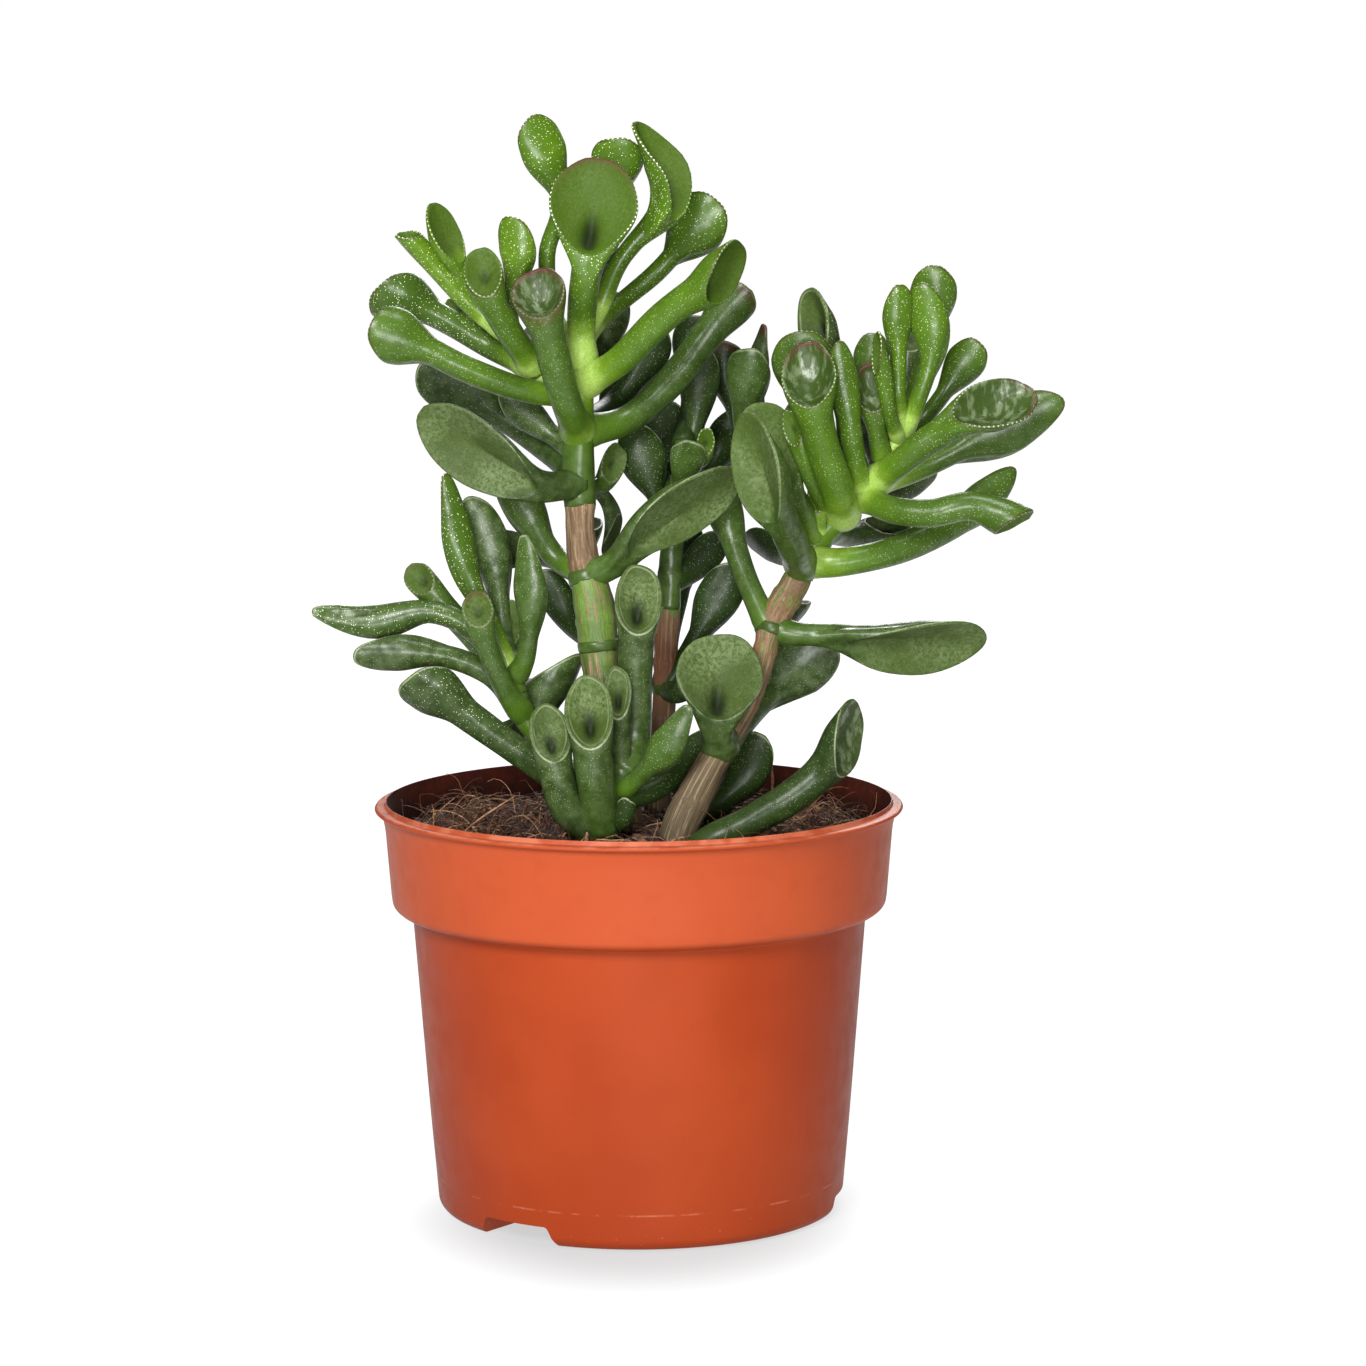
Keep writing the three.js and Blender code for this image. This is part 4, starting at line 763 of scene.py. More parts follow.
def rounded(outline, closed=False):
    """An outline of (x, y, radius) corners, with each corner's radius turned into a short arc."""
    points = []
    last = len(outline) - 1
    for i, (x, y, radius) in enumerate(outline):
        here = np.array([x, y])
        if radius == 0 or (not closed and i in (0, last)):
            points.append(here)
            continue
        before, after = np.array(outline[i - 1][:2]), np.array(outline[(i + 1) % len(outline)][:2])
        back, forth = unit(before - here), unit(after - here)
        reach = [np.linalg.norm(before - here), np.linalg.norm(after - here)]
        cut_off = min(radius, FILLET_SHARE * reach[0], FILLET_SHARE * reach[1])
        if reach[0] > 4 * (cut_off + SUPPORT):
            points.append(here + back * (cut_off + SUPPORT))
        for t in np.linspace(0, 1, FILLET_STEPS + 1):
            points.append(here + back * cut_off * (1 - t) ** 2 + forth * cut_off * t**2)
        if reach[1] > 4 * (cut_off + SUPPORT):
            points.append(here + forth * (cut_off + SUPPORT))
    return np.array(points)


def turned(profile, sides):
    """A profile of (radius, height) points, turned about the Z axis. Its two ends lie on the axis."""
    theta = np.linspace(0, 2 * math.pi, sides, endpoint=False)
    inner = profile[1:-1]
    rings = np.stack([inner[:, :1] * np.cos(theta), inner[:, :1] * np.sin(theta),
                      np.repeat(inner[:, 1:], sides, axis=1)], -1)
    return rings, np.array([0, 0, profile[0, 1]]), np.array([0, 0, profile[-1, 1]])


def turned_patch(profile, sides, middle=(0, 0, 0)):
    return ring_patch(*[points + middle for points in turned(profile, sides)], {})


def pot_outside():
    """The outside of the pot, from the middle of its foot up to its lip, and a lid over it."""
    foot, collar, lip = FOOT_RISE, COLLAR_FOOT, POT_HEIGHT
    return rounded([
        (0, 0, 0), (14, 0, 0.6), (15.6, foot, 0.6), (33, foot, 0.6), (34.6, 0, 0.6), (44.8, 0, 1.2),
        (46.2, 1.6, 1.2), (48, 22, 6), (51.6, collar - 0.4, 0.7), (54.6, collar, 0.9),
        (56, collar + 1.2, 0.9), (56.3, collar + 3, 1), (57.6, 88, 4), (58.4, lip - 1.2, 0.4),
        (59.6, lip - 1, 0.3), (RIM_RADIUS, lip - 0.6, 0.4), (59.6, lip, 0.4), (57.6, lip, 0.3),
        (57.4, lip + 1, 0), (0, lip + 1, 0),
    ])


def pot_hollow(inset, top):
    """The inside of the pot up to the soil's edge, made smaller by the inset, with points over it."""
    floor, raised, shelf = WALL + inset, FOOT_RISE + WALL + inset, COLLAR_FOOT + WALL + inset
    return rounded([
        (0, floor, 0), (13.2 - inset, floor, 0.6), (15 - inset, raised, 0.6), (33.6 + inset, raised, 0.6),
        (35.4 + inset, floor, 0.6), (44 - inset, floor, 1), (45 - inset, floor + 1.6, 1),
        (46.8 - inset, 22, 6), (50.4 - inset, COLLAR_FOOT - 0.8, 0.4), (50.6 - inset, shelf, 0.4),
        (54.4 - inset, shelf, 0.5), (55 - inset, COLLAR_FOOT + 4, 0.5),
        (WALL_AT_SOIL - inset, SOIL_EDGE, 0), *top,
    ])


def foot_channels(extra):
    """Cutters for the three channels under the foot, which let water run out."""
    top, foot, height = CHANNEL_TOP + extra, CHANNEL_FOOT + extra, FOOT_RISE + extra
    outline = rounded([(foot, -1, 0), (top, height, 0.8), (-top, height, 0.8), (-foot, -1, 0)], closed=True)
    reaches = CHANNEL_START - extra, CHANNEL_END
    patches = []
    for turn in CHANNEL_TURNS:
        spin = Matrix.Rotation(math.radians(turn), 3, "Z")
        rings = np.array([[list(spin @ Vector((x, -reach, z))) for x, z in outline] for reach in reaches])
        patches.append(ring_patch(rings, rings[0].mean(0), rings[1].mean(0), {}))
    return patches


def drain_holes():
    hole = [(0, DRAIN_LOW), (DRAIN_RADIUS, DRAIN_LOW), (DRAIN_RADIUS, DRAIN_HIGH), (0, DRAIN_HIGH)]
    patches = []
    for turn in range(0, 360, 60):
        x, y = DRAIN_RING * math.cos(math.radians(turn)), DRAIN_RING * math.sin(math.radians(turn))
        patches.append(turned_patch(np.array(hole), DRAIN_SIDES, (x, y, 0)))
    return patches


def cut(thing, cutter):
    """Cuts one closed object out of another, and removes the cutter."""
    modifier = thing.modifiers.new("cut", "BOOLEAN")
    modifier.operation = "DIFFERENCE"
    modifier.solver = "MANIFOLD"
    modifier.material_mode = "TRANSFER"
    modifier.object = cutter
    bpy.context.view_layer.update()
    graph = bpy.context.evaluated_depsgraph_get()
    result = bpy.data.meshes.new_from_object(thing.evaluated_get(graph))
    thing.modifiers.clear()
    thing.data = result
    bpy.data.objects.remove(cutter)


def make_pot(material, inner_material):
    pot = mesh_of("pot_shell", [turned_patch(pot_outside(), POT_SIDES)], material)
    cut(pot, mesh_of("channels", foot_channels(0), material))
    top = [(56.6, 90, 1), (57.5, POT_HEIGHT + 2, 0), (0, POT_HEIGHT + 2, 0)]
    hollow = mesh_of("hollow", [turned_patch(pot_hollow(0, top), POT_SIDES)], inner_material)
    cut(hollow, mesh_of("inner_channels", foot_channels(WALL), inner_material))
    cut(pot, hollow)
    cut(pot, mesh_of("drains", drain_holes(), material))
    pot.data.shade_smooth()
    pot.data.set_sharp_from_angle(angle=math.radians(SHARP_EDGE))
    place_piece(pot, "pot", "pot")


# ------------------------ soil

SOIL_SIDES = 240
SOIL_RINGS = 64
SOIL_RADIUS = WALL_AT_SOIL - GAP
# How high the mound stands at some distances from its middle, as a share of its full height.
MOUND_RADII = [0, 16, 32, 44, 52, 56]
MOUND_SHARES = [1, .92, .7, .4, .15, 0]
LUMP_HEIGHT, LUMPS_END = 1.2, 57            # of the broad lumps, which fade out towards the wall
ROUGH_HEIGHT, GRAIN_HEIGHT = 0.55, 0.3
WALL_EASE = 1.5             # width of the ring in which the mound flattens to meet the wall


def noise_at(x, y, scale, layer):
    return noise.noise(Vector((x * scale, y * scale, layer)))


def soil_height(x, y):
    """Height of the mound at a place, without its crumbs."""
    radius = math.hypot(x, y)
    share = float(np.interp(radius, MOUND_RADII, MOUND_SHARES))
    lumps = noise_at(x, y, 0.09, 3.0) * LUMP_HEIGHT
    return SOIL_EDGE + share * (SOIL_TOP - SOIL_EDGE) + lumps * (1 - (radius / LUMPS_END) ** 4)


def soil_surface(x, y):
    rough = noise.fractal(Vector((x * 0.35, y * 0.35, 1.0)), 0.6, 2.2, 4)
    return soil_height(x, y) + ROUGH_HEIGHT * rough + GRAIN_HEIGHT * noise_at(x, y, 1.3, 5.0)


def make_soil(material):
    body = pot_hollow(GAP, [(0, SOIL_EDGE, 0)])
    radii = np.linspace(SOIL_RADIUS, 0, SOIL_RINGS)[1:]
    top = np.column_stack([radii, np.full(len(radii), SOIL_EDGE)])
    rings, low, high = turned(np.vstack([body[:-1], top]), SOIL_SIDES)
    for point in rings[-(len(radii) - 1):].reshape(-1, 3):
        ease = min(1.0, (SOIL_RADIUS - math.hypot(point[0], point[1])) / WALL_EASE)
        point[2] = lerp(SOIL_EDGE, soil_surface(point[0], point[1]), ease)
    high[2] = rings[-1][:, 2].mean()
    soil = mesh_of("soil_bed", [ring_patch(rings, low, high, {})], material)
    cut(soil, mesh_of("soil_channels", foot_channels(WALL + GAP), material))
    soil.data.shade_smooth()
    place_piece(soil, "soil", "soil")


# ------------------------ crumbs and fibres on the soil

CRUMBS, CRUMB_SIDES = 620, 8
CRUMB_PROFILE = np.array([(math.sqrt(1 - h * h), h) for h in (-1, -0.85, -0.35, 0.35, 0.85, 1)])
SMALLEST_CRUMB, CRUMB_RANGE = 0.35, 1.1
THREADS = 820               # the finest fibres
THINNEST_THREAD, THREAD_RANGE = 0.07, 0.13
STRAND_STEP = 1.6           # about the distance between the rings of a long strand
INSIDE, LYING_INSIDE = 54.0, 53.5           # how far from the middle the litter and its strands reach
TUFT_ASIDE, TUFT_FRONT = 36, 8              # where the tangles of roots lie
ABOUT_A_TURN = 6.28         # the range of headings, in radians
# Stalks that stand out from the other fibres: their points as in the layout, and their radius.
STRAWS = [
    ([(-42, 84, -22), (-37, 88.5, -23), (-28, 94.5, -22)], 0.22),
    ([(-12.3, 81, -30), (-12, 83, -30), (-11.8, 86, -30)], 0.6),
    ([(30, 93, 44), (30.4, 97, 44), (30.1, 101.5, 44)], 0.4),
]


def crumb_patch(center, size):
    """A small rough lump."""
    rings, low, high = turned(CRUMB_PROFILE, CRUMB_SIDES)
    rings = rings * rng.uniform(0.72, 1.28, rings.shape[:2] + (1,)) * rng.uniform(0.6, 1.2, 3)
    spin = np.array(Matrix.Rotation(rng.uniform(0, 6), 3, Vector(rng.uniform(-1, 1, 3))))
    rings, low, high = (points @ spin.T * size + center for points in (rings, low, high))
    return ring_patch(rings, low, high, {"shade": rng.uniform(0, 1)})


def strand_patch(points, radius, shade, sides=5):
    """A thin tapered strand through a few points."""
    curve = smooth_curve(points, np.array([0.1, 0.2, 1.0]))
    t = np.linspace(0, 1, max(6, int(curve.length / STRAND_STEP)) + 1)
    phi = np.linspace(0, 2 * math.pi, sides, endpoint=False)
    thick = radius * (0.35 + 0.65 * np.sin(math.pi * np.clip(t * 0.9 + 0.08, 0, 1)))[:, None]
    rings = tube_rings(curve, t[:, None], np.cos(phi) * thick, np.sin(phi) * thick)
    return ring_patch(rings, curve.places[0], curve.places[-1], {"shade": shade})


def soil_spot(outer=INSIDE):
    """A random place on the soil, as likely anywhere on its area."""
    radius, turn = outer * math.sqrt(rng.uniform()), rng.uniform(0, 2 * math.pi)
    return radius * math.cos(turn), radius * math.sin(turn)


def inner_spot():
    return soil_spot(50)


def tuft_spot():
    """A random place in the tangles of roots to the left and to the right of the stems."""
    side = rng.choice([-1, 1])
    return side * TUFT_ASIDE + rng.normal(0, 8), -TUFT_FRONT + rng.normal(0, 16)


def kept_inside(x, y, limit):
    """The place, drawn in towards the middle of the pot if it lies beyond the limit."""
    radius = math.hypot(x, y)
    return (x * limit / radius, y * limit / radius) if radius > limit else (x, y)


def wander(start, heading, length, steps, bend, limit):
    """Places of a path over the soil, each with how far along the path it is."""
    x, y = start
    for k in range(steps + 1):
        x, y = kept_inside(x, y, limit)
        yield x, y, k / steps
        heading += rng.normal(0, bend)
        x += math.cos(heading) * length / steps
        y += math.sin(heading) * length / steps


def lying_strand(start, heading, length, lift, bend):
    """Points of a strand that arches over the soil from `start` and stays inside the pot."""
    points = []
    for x, y, share in wander(start, heading, length, 6, bend, LYING_INSIDE):
        arch = (lift + 0.7) * math.sin(math.pi * share)
        points.append([x, y, soil_height(x, y) - 0.5 + arch + rng.uniform(-0.4, 0.4)])
    return points


def rising_strand(start, heading, length, rise, bend):
    """Points of a strand that is rooted in the soil and stands up with a free end."""
    foot = soil_height(*start) - 0.8
    return [[x, y, foot + (rise + 0.8) * math.sin(share * 1.9)]
            for x, y, share in wander(start, heading, length, 5, bend, INSIDE)]


# Fibres coarser than the threads: how many, where they start, their path, and the ranges of their
# length, height, radius and shade, then how much they bend and how many sides they have.
STRANDS = [
    (190, soil_spot, rising_strand, (3, 11), (1.5, 7), (0.05, 0.09), (0.3, 1), 0.35, 5),
    (150, tuft_spot, lying_strand, (9, 22), (1.5, 5), (0.08, 0.22), (0.1, 0.9), 0.55, 5),
    (70, tuft_spot, rising_strand, (6, 16), (4, 10), (0.05, 0.11), (0.3, 1), 0.35, 5),
    (34, inner_spot, lying_strand, (12, 30), (0.3, 1.5), (0.35, 0.6), (0.2, 0.8), 0.3, 8),
]


def make_litter(material):
    patches = []
    for points, radius in STRAWS:
        patches.append(strand_patch([drawn_to_world(*point) for point in points], radius, 0.85, sides=8))
    for _ in range(CRUMBS):
        x, y = soil_spot()
        size = SMALLEST_CRUMB + CRUMB_RANGE * rng.uniform() ** 2.5
        patches.append(crumb_patch(np.array([x, y, soil_surface(x, y) + 0.2 * size]), size))
    for _ in range(THREADS):
        radius = THINNEST_THREAD + THREAD_RANGE * rng.uniform() ** 3
        start, heading = soil_spot(), rng.uniform(0, ABOUT_A_TURN)
        points = lying_strand(start, heading, rng.uniform(7, 24), rng.uniform(0, 2.2), 0.5)
        patches.append(strand_patch(points, radius, rng.uniform(0, 1)))
    for count, spot, path, lengths, heights, radii, shades, bend, sides in STRANDS:
        for _ in range(count):
            start, heading = spot(), rng.uniform(0, ABOUT_A_TURN)
            points = path(start, heading, rng.uniform(*lengths), rng.uniform(*heights), bend)
            patches.append(strand_patch(points, rng.uniform(*radii), rng.uniform(*shades), sides))
    place_piece(mesh_of("soil_fibres", patches, material), "soil", "soil")


# ------------------------ nodes


def srgb(r, g, b):
    channels = [c / 255 for c in (r, g, b)]
    return tuple(c / 12.92 if c <= 0.04045 else ((c + 0.055) / 1.055) ** 2.4 for c in channels) + (1.0,)


class Value:
    """An output of a node. It can be added to, subtracted, multiplied and made positive."""

    def __init__(self, graph, socket):
        self.graph, self.socket = graph, socket

    def __add__(self, other):
        return self.graph.math("ADD", self, other)

    def __sub__(self, other):
        return self.graph.math("SUBTRACT", self, other)

    def __rsub__(self, other):
        return self.graph.math("SUBTRACT", other, self)

    def __mul__(self, other):
        return self.graph.math("MULTIPLY", self, other)

    def __abs__(self):
        return self.graph.math("ABSOLUTE", self)

    def clamped(self):
        """The same sum or product, kept between 0 and 1."""
        self.socket.node.use_clamp = True
        return self


class Graph:
    """A tree of shader nodes, which are added one call at a time."""

    def __init__(self, tree):
        self.tree = tree

    def put(self, socket, value):
        if isinstance(value, Value):
            self.tree.links.new(value.socket, socket)
        else:
            socket.default_value = value

    def node(self, kind, inputs, output=0, **settings):
        """One output of a new node. `inputs` holds values by the name or number of their socket."""
        node = self.tree.nodes.new("ShaderNode" + kind)
        for name, value in settings.items():
            setattr(node, name, value)
        for socket, value in inputs.items():
            self.put(node.inputs[socket], value)
        return Value(self, node.outputs[output])

    def math(self, operation, a, b=0.0):
        return self.node("Math", {0: a, 1: b}, operation=operation)

    def vector(self, operation, a, b=(0, 0, 0), output="Vector"):
        return self.node("VectorMath", {0: a, 1: b}, output, operation=operation)

    def ramp(self, value, low, high, start=0.0, end=1.0, kind="SMOOTHSTEP"):
        """Goes from start to end while the value goes from low to high."""
        inputs = {"Value": value, "From Min": low, "From Max": high, "To Min": start, "To Max": end}
        return self.node("MapRange", inputs, "Result", interpolation_type=kind)

    def mix(self, share, a, b):
        return self.node("Mix", {0: share, 6: a, 7: b}, 2, data_type="RGBA")

    def layers(self, colour, *coats):
        """Lays coats of (share, colour) over a colour, one after the other."""
        for share, coat in coats:
            colour = self.mix(share, colour, coat)
        return colour

    def colours(self, value, *stops):
        """Fades from one (place, colour) to the next while the value goes from 0 to 1."""
        result = self.node("ValToRGB", {"Fac": value}, "Color")
        elements = result.socket.node.color_ramp.elements
        while len(elements) < len(stops):
            elements.new(0.5)
        for element, (place, colour) in zip(elements, stops):
            element.position, element.color = place, colour
        return result

    def field(self, name, output="Fac"):
        return self.node("Attribute", {}, output, attribute_name=name)

    def combine(self, *numbers):
        return self.node("CombineXYZ", dict(enumerate(numbers)))

    def split(self, vector):
        """The three numbers of a vector."""
        outputs = self.node("SeparateXYZ", {0: vector}).socket.node.outputs
        return [Value(self, output) for output in outputs]

    def bump(self, height, strength, distance, **under):
        inputs = {"Strength": strength, "Distance": distance, "Height": height, **under}
        return self.node("Bump", inputs, "Normal")

    def seen_directly(self):
        """1 for what the camera sees straight away, and 0 for what lights or mirrors in the part."""
        return self.node("LightPath", {}, "Is Camera Ray")


class Surface(Graph):
    """A material round one Principled shader. `mm` is the place on the object, in millimetres."""

    def __init__(self, name, **settings):
        self.material = bpy.data.materials.new(name)
        self.material.use_nodes = True
        super().__init__(self.material.node_tree)
        self.finish(**settings)
        place = self.node("TexCoord", {}, "Object")
        self.mm = self.node("VectorMath", {0: place, "Scale": 1 / MM}, operation="SCALE")

    def finish(self, **sockets):
        """Puts values into the shader, under the names of its sockets, and gives the material."""
        shader = self.tree.nodes["Principled BSDF"]
        for socket, value in sockets.items():
            self.put(shader.inputs[socket.replace("_", " ")], value)
        return self.material

    def noise(self, scale, detail=2.0, roughness=0.5, stretch=(1, 1, 1), place=None):
        where = self.vector("MULTIPLY", place or self.mm, stretch)
        inputs = {"Vector": where, "Scale": scale, "Detail": detail, "Roughness": roughness}
        return self.node("TexNoise", inputs, "Fac")

    def cells(self, scale):
        return self.node("TexVoronoi", {"Vector": self.mm, "Scale": scale}, "Distance")


# ------------------------ materials of the plant

LEAF_AGES_AND_SHADE = [(0.0, srgb(24, 36, 12)), (0.25, srgb(38, 55, 14)), (0.5, srgb(56, 81, 14)),
             (0.72, srgb(72, 103, 12)), (0.88, srgb(100, 130, 32)), (1.0, srgb(150, 180, 82))]
DOT_COLOUR, BEAD_COLOUR = srgb(222, 230, 190), srgb(216, 222, 190)
DOT_CELLS = 1.75            # how close the cells lie that each hold one pale dot
SECOND_LINE = 1.5           # distance from the rim to the second pale line round a dull mouth
BEAD_DEPTH = 0.5            # distance from the rim to the beads along it


def leaf_skin(s, broad, patchy, fine):
    """The outer skin: darker with age, and on leaves hidden at the back with painted shade; a dull bloom on
    old leaves.
    """
    tone, along = s.field("tone"), s.field("along")
    fresh = s.ramp(along, 0.03, 0.36, 0.48, 0.0) * s.ramp(tone, 0.2, 0.5, 0.15, 1.0)
    age_and_shade = (tone + fresh + (broad - 0.5) * 0.36 + (patchy - 0.5) * 0.16).clamped()
    old = s.ramp(tone, 0.15, 0.6, 1.0, 0.0)
    bloom = s.ramp(patchy, 0.2, 0.8) * s.ramp(tone, 0.08, 0.2) * old
    return s.layers(s.colours(age_and_shade, *LEAF_AGES_AND_SHADE), (bloom * 0.5, srgb(92, 108, 68)),
                    (s.ramp(fine, 0.3, 0.7, 0.0, 0.3), srgb(34, 56, 20)))


def leaf_mouth(s, broad, fine, wet, streaky):
    """The inside of a mouth: frosted, darkened in its slot with painted shade, and in glossy leaves darker,
    with pale streaks of painted reflection.
    """
    tone, cup, blush = s.field("tone"), s.field("cup"), s.field("blush")
    frosted = s.ramp(broad, 0.3, 0.7) * s.ramp(s.noise(1.1, 5, 0.75), 0.35, 0.65)
    return s.layers(
        s.mix(s.ramp(tone, 0.2, 0.6), srgb(54, 68, 30), srgb(56, 78, 15)),
        (frosted * s.ramp(tone, 0.25, 0.65, 0.7, 0.15), srgb(108, 124, 84)),
        (s.ramp(fine, 0.5, 0.7, 0.0, 0.35), srgb(90, 108, 58)),
        # Painted shade in the slot.
        (s.ramp(cup, 0.05, 0.7, 0.0, 0.92), srgb(16, 24, 10)),
        (s.ramp(blush, 0.7, 1.0, 0.0, 0.8), srgb(66, 50, 40)),
        (wet * 0.6, srgb(34, 48, 20)),
        # Painted reflection: pale streaks in the glossy cups.
        (streaky * wet * 0.3, srgb(140, 154, 120)))


def leaf_margin(s, patchy):
    """Where the pale or dark line along the lip lies, and its colour."""
    tone, rim, gloss = s.field("tone"), s.field("rim"), s.field("gloss")
    second = s.ramp(abs(rim - SECOND_LINE), 0.05, 0.3, 0.7, 0.0) * s.ramp(gloss, 0.0, 0.1, 1.0, 0.0)
    line = s.math("MAXIMUM", s.ramp(abs(rim - 0.08), 0.08, 0.32, 1.0, 0.0), second)
    share = line * s.ramp(patchy, 0.3, 0.6, 0.3, 0.85) * s.field("lipped")
    return share, s.mix(s.ramp(tone, 0.3, 0.5), srgb(122, 132, 98), srgb(58, 46, 22))


def leaf_beads(s):
    """Where the pale beads along the lip lie."""
    row = s.split(s.field("rimdots", "Vector"))
    beat = (s.math("FRACT", row[0]) - 0.5) * DOT_SPACING
    off = row[1] - BEAD_DEPTH
    reach = s.math("SQRT", beat * beat + off * off)
    beads = s.ramp(reach, 0.14, 0.24, 1.0, 0.0) * s.ramp(s.field("tone"), 0.3, 0.55, 0.12, 1.0)
    return beads * s.field("lipped") * s.field("dotted")


def leaf_material():
    s = Surface("leaf_skin", Specular_IOR_Level=0.1, IOR=1.45, Coat_Roughness=0.27)
    tone, along, rim, blush = s.field("tone"), s.field("along"), s.field("rim"), s.field("blush")
    broad, patchy, fine = s.noise(0.09), s.noise(0.45, 3), s.noise(2.4, 3, 0.6)
    streaky = s.ramp(s.noise(0.5, 4, 0.6, (1, 1, 0.35)), 0.46, 0.62)
    inside, wet = s.ramp(rim, 0.2, 0.9), s.ramp(s.field("gloss"), 0.5, 0.9)
    outside = 1.0 - inside
    sunk = s.mix(s.ramp(s.field("lipped"), 0.0, 0.5), s.ramp(rim, 0.2, 4.0), inside)
    raised = s.ramp(s.ramp(broad, 0.3, 0.7, 0.15, 0.2) - s.cells(DOT_CELLS), -0.02, 0.04)
    dots = raised * outside * s.ramp(along, 0.04, 0.55, 0.2, 1.0) * s.ramp(rim, -60.0, -40.0)
    blushed = (s.ramp(abs(rim), 0.6, 2.8, 1.4, 0.0) * blush).clamped()
    colour = s.layers(
        leaf_skin(s, broad, patchy, fine),
        (sunk, leaf_mouth(s, broad, fine, wet, streaky)),
        (dots * s.field("dotted"), DOT_COLOUR),
        leaf_margin(s, patchy),
        (blushed, srgb(70, 32, 27)),
        (leaf_beads(s), BEAD_COLOUR))
    film = outside * s.ramp(patchy, 0.3, 0.6, 0.15, 0.5) * s.ramp(tone, 0.02, 0.3, 0.25, 1.0)
    puddle = s.ramp(streaky, 0.0, 1.0, 0.12, 0.6) * (inside * wet)
    pores = s.bump(s.noise(2.2, 4, 0.7), 0.45, 0.12 * MM)
    return s.finish(Base_Color=colour, Roughness=s.ramp(fine, 0.3, 0.7, 0.45, 0.6),
                    Coat_Weight=film + puddle, Normal=s.bump(raised, 0.2, 0.06 * MM, Normal=pores))


def bark_material():
    s = Surface("stem_bark", Specular_IOR_Level=0.3)
    straight = s.combine(s.field("grain_x"), s.field("grain_y"), s.field("grain_z"))
    streaks = s.noise(1.1, 4, 0.6, (1, 1, 0.1), straight)
    specks, broad = s.noise(1.4, 5, 0.65), s.noise(0.12)
    woody = s.ramp(s.field("bark") + (streaks - 0.5) * 1.6 + (specks - 0.5) * 0.7, 0.35, 0.65)
    green = s.layers(
        s.mix(s.ramp(broad, 0.35, 0.65), srgb(64, 88, 32), srgb(86, 112, 42)),
        (s.ramp(specks, 0.45, 0.7, 0.0, 0.4), srgb(46, 66, 28)))
    brown = s.layers(
        s.colours(streaks, (0.3, srgb(62, 50, 35)), (0.5, srgb(98, 80, 57)), (0.7, srgb(136, 116, 88))),
        (s.ramp(specks, 0.45, 0.68, 0.0, 0.5), srgb(82, 58, 42)),
        (s.field("redness") * s.ramp(broad, 0.3, 0.7, 0.3, 0.9), srgb(112, 66, 44)),
        (s.ramp(s.split(s.mm)[2], 92, 128, 0.8, 0.0), srgb(64, 56, 38)),
        (s.ramp(s.noise(2.2, 2, 0.5, (1, 1, 0.025), straight), 0.56, 0.66, 0.0, 0.34), srgb(158, 140, 108)))
    wrinkles = s.bump(streaks, 0.6, 0.5 * MM)
    return s.finish(Base_Color=s.mix(woody, green, brown), Roughness=s.ramp(woody, 0.0, 1.0, 0.42, 0.72),
                    Normal=s.bump(specks, 0.4, 0.15 * MM, Normal=wrinkles))


# ------------------------ materials of the pot and the soil

SEAM_HEIGHT = 8.2           # height of the faint line that the mould left round the pot


def pot_material():
    s = Surface("pot_plastic", Specular_IOR_Level=0.1, IOR=1.49)
    broad, cloud, grain = s.noise(0.03), s.noise(0.2, 3), s.noise(4.0, 3, 0.6)
    height = s.split(s.mm)[2]
    seam = s.ramp(abs(height - SEAM_HEIGHT), 0.08, 0.3, 1.0, 0.0)
    seam = seam * s.ramp(s.noise(0.2, 4, 0.6), 0.45, 0.66, 0.0, 0.3)
    scuffs = s.ramp(s.noise(0.7, 4, 0.7), 0.62, 0.74) * s.ramp(height, 0.0, 9.0, 0.35, 0.0)
    # Painted highlight with some wear: the top edge of the lip is paler in patches.
    worn_and_highlit = s.ramp(height, POT_HEIGHT - 0.5, POT_HEIGHT) * s.ramp(cloud, 0.4, 0.6, 0.1, 0.45)
    colour = s.layers(
        s.mix(s.ramp(broad, 0.35, 0.65), srgb(132, 47, 17), srgb(139, 53, 21)),
        # Painted shade: the wall darkens towards its foot, as the light comes from above.
        (s.ramp(height, 0.0, 70.0, 0.3, 0.0), srgb(110, 37, 12)),
        # Painted light: the collar is lighter than the wall under it, as it faces the light more.
        (s.ramp(height, COLLAR_FOOT, COLLAR_FOOT + 2, 0.0, 0.5), srgb(167, 76, 44)),
        (s.ramp(cloud, 0.5, 0.8, 0.0, 0.16), srgb(126, 40, 14)),
        (s.ramp(grain, 0.55, 0.8, 0.0, 0.1), srgb(176, 84, 56)),
        (s.math("MAXIMUM", seam, scuffs), srgb(190, 120, 96)),
        # Painted shade: the lip is darker than the collar under it.
        (s.ramp(height, POT_HEIGHT - 1.6, POT_HEIGHT - 1, 0.0, 0.5), srgb(130, 48, 20)),
        (worn_and_highlit, srgb(186, 116, 90)))
    return s.finish(Base_Color=colour, Roughness=s.ramp(cloud, 0.3, 0.7, 0.42, 0.5),
                    Normal=s.bump(grain, 0.12, 0.1 * MM))


def pot_inner_material():
    s = Surface("pot_inside", Specular_IOR_Level=0.15, IOR=1.49)
    dirt, height = s.noise(0.25, 4, 0.6), s.split(s.mm)[2]
    # Painted shade: the inside is the same plastic as the outside painted much darker, with patches of dirt,
    # and darker still towards the soil.
    dirt_and_shade = (s.ramp(dirt, 0.35, 0.65, 0.0, 0.5) + s.ramp(height, 86, 92, 0.5, 0.0)).clamped()
    return s.finish(Base_Color=s.mix(dirt_and_shade, srgb(68, 25, 14), srgb(32, 16, 11)),
                    Roughness=s.ramp(dirt, 0.3, 0.7, 0.6, 0.8))


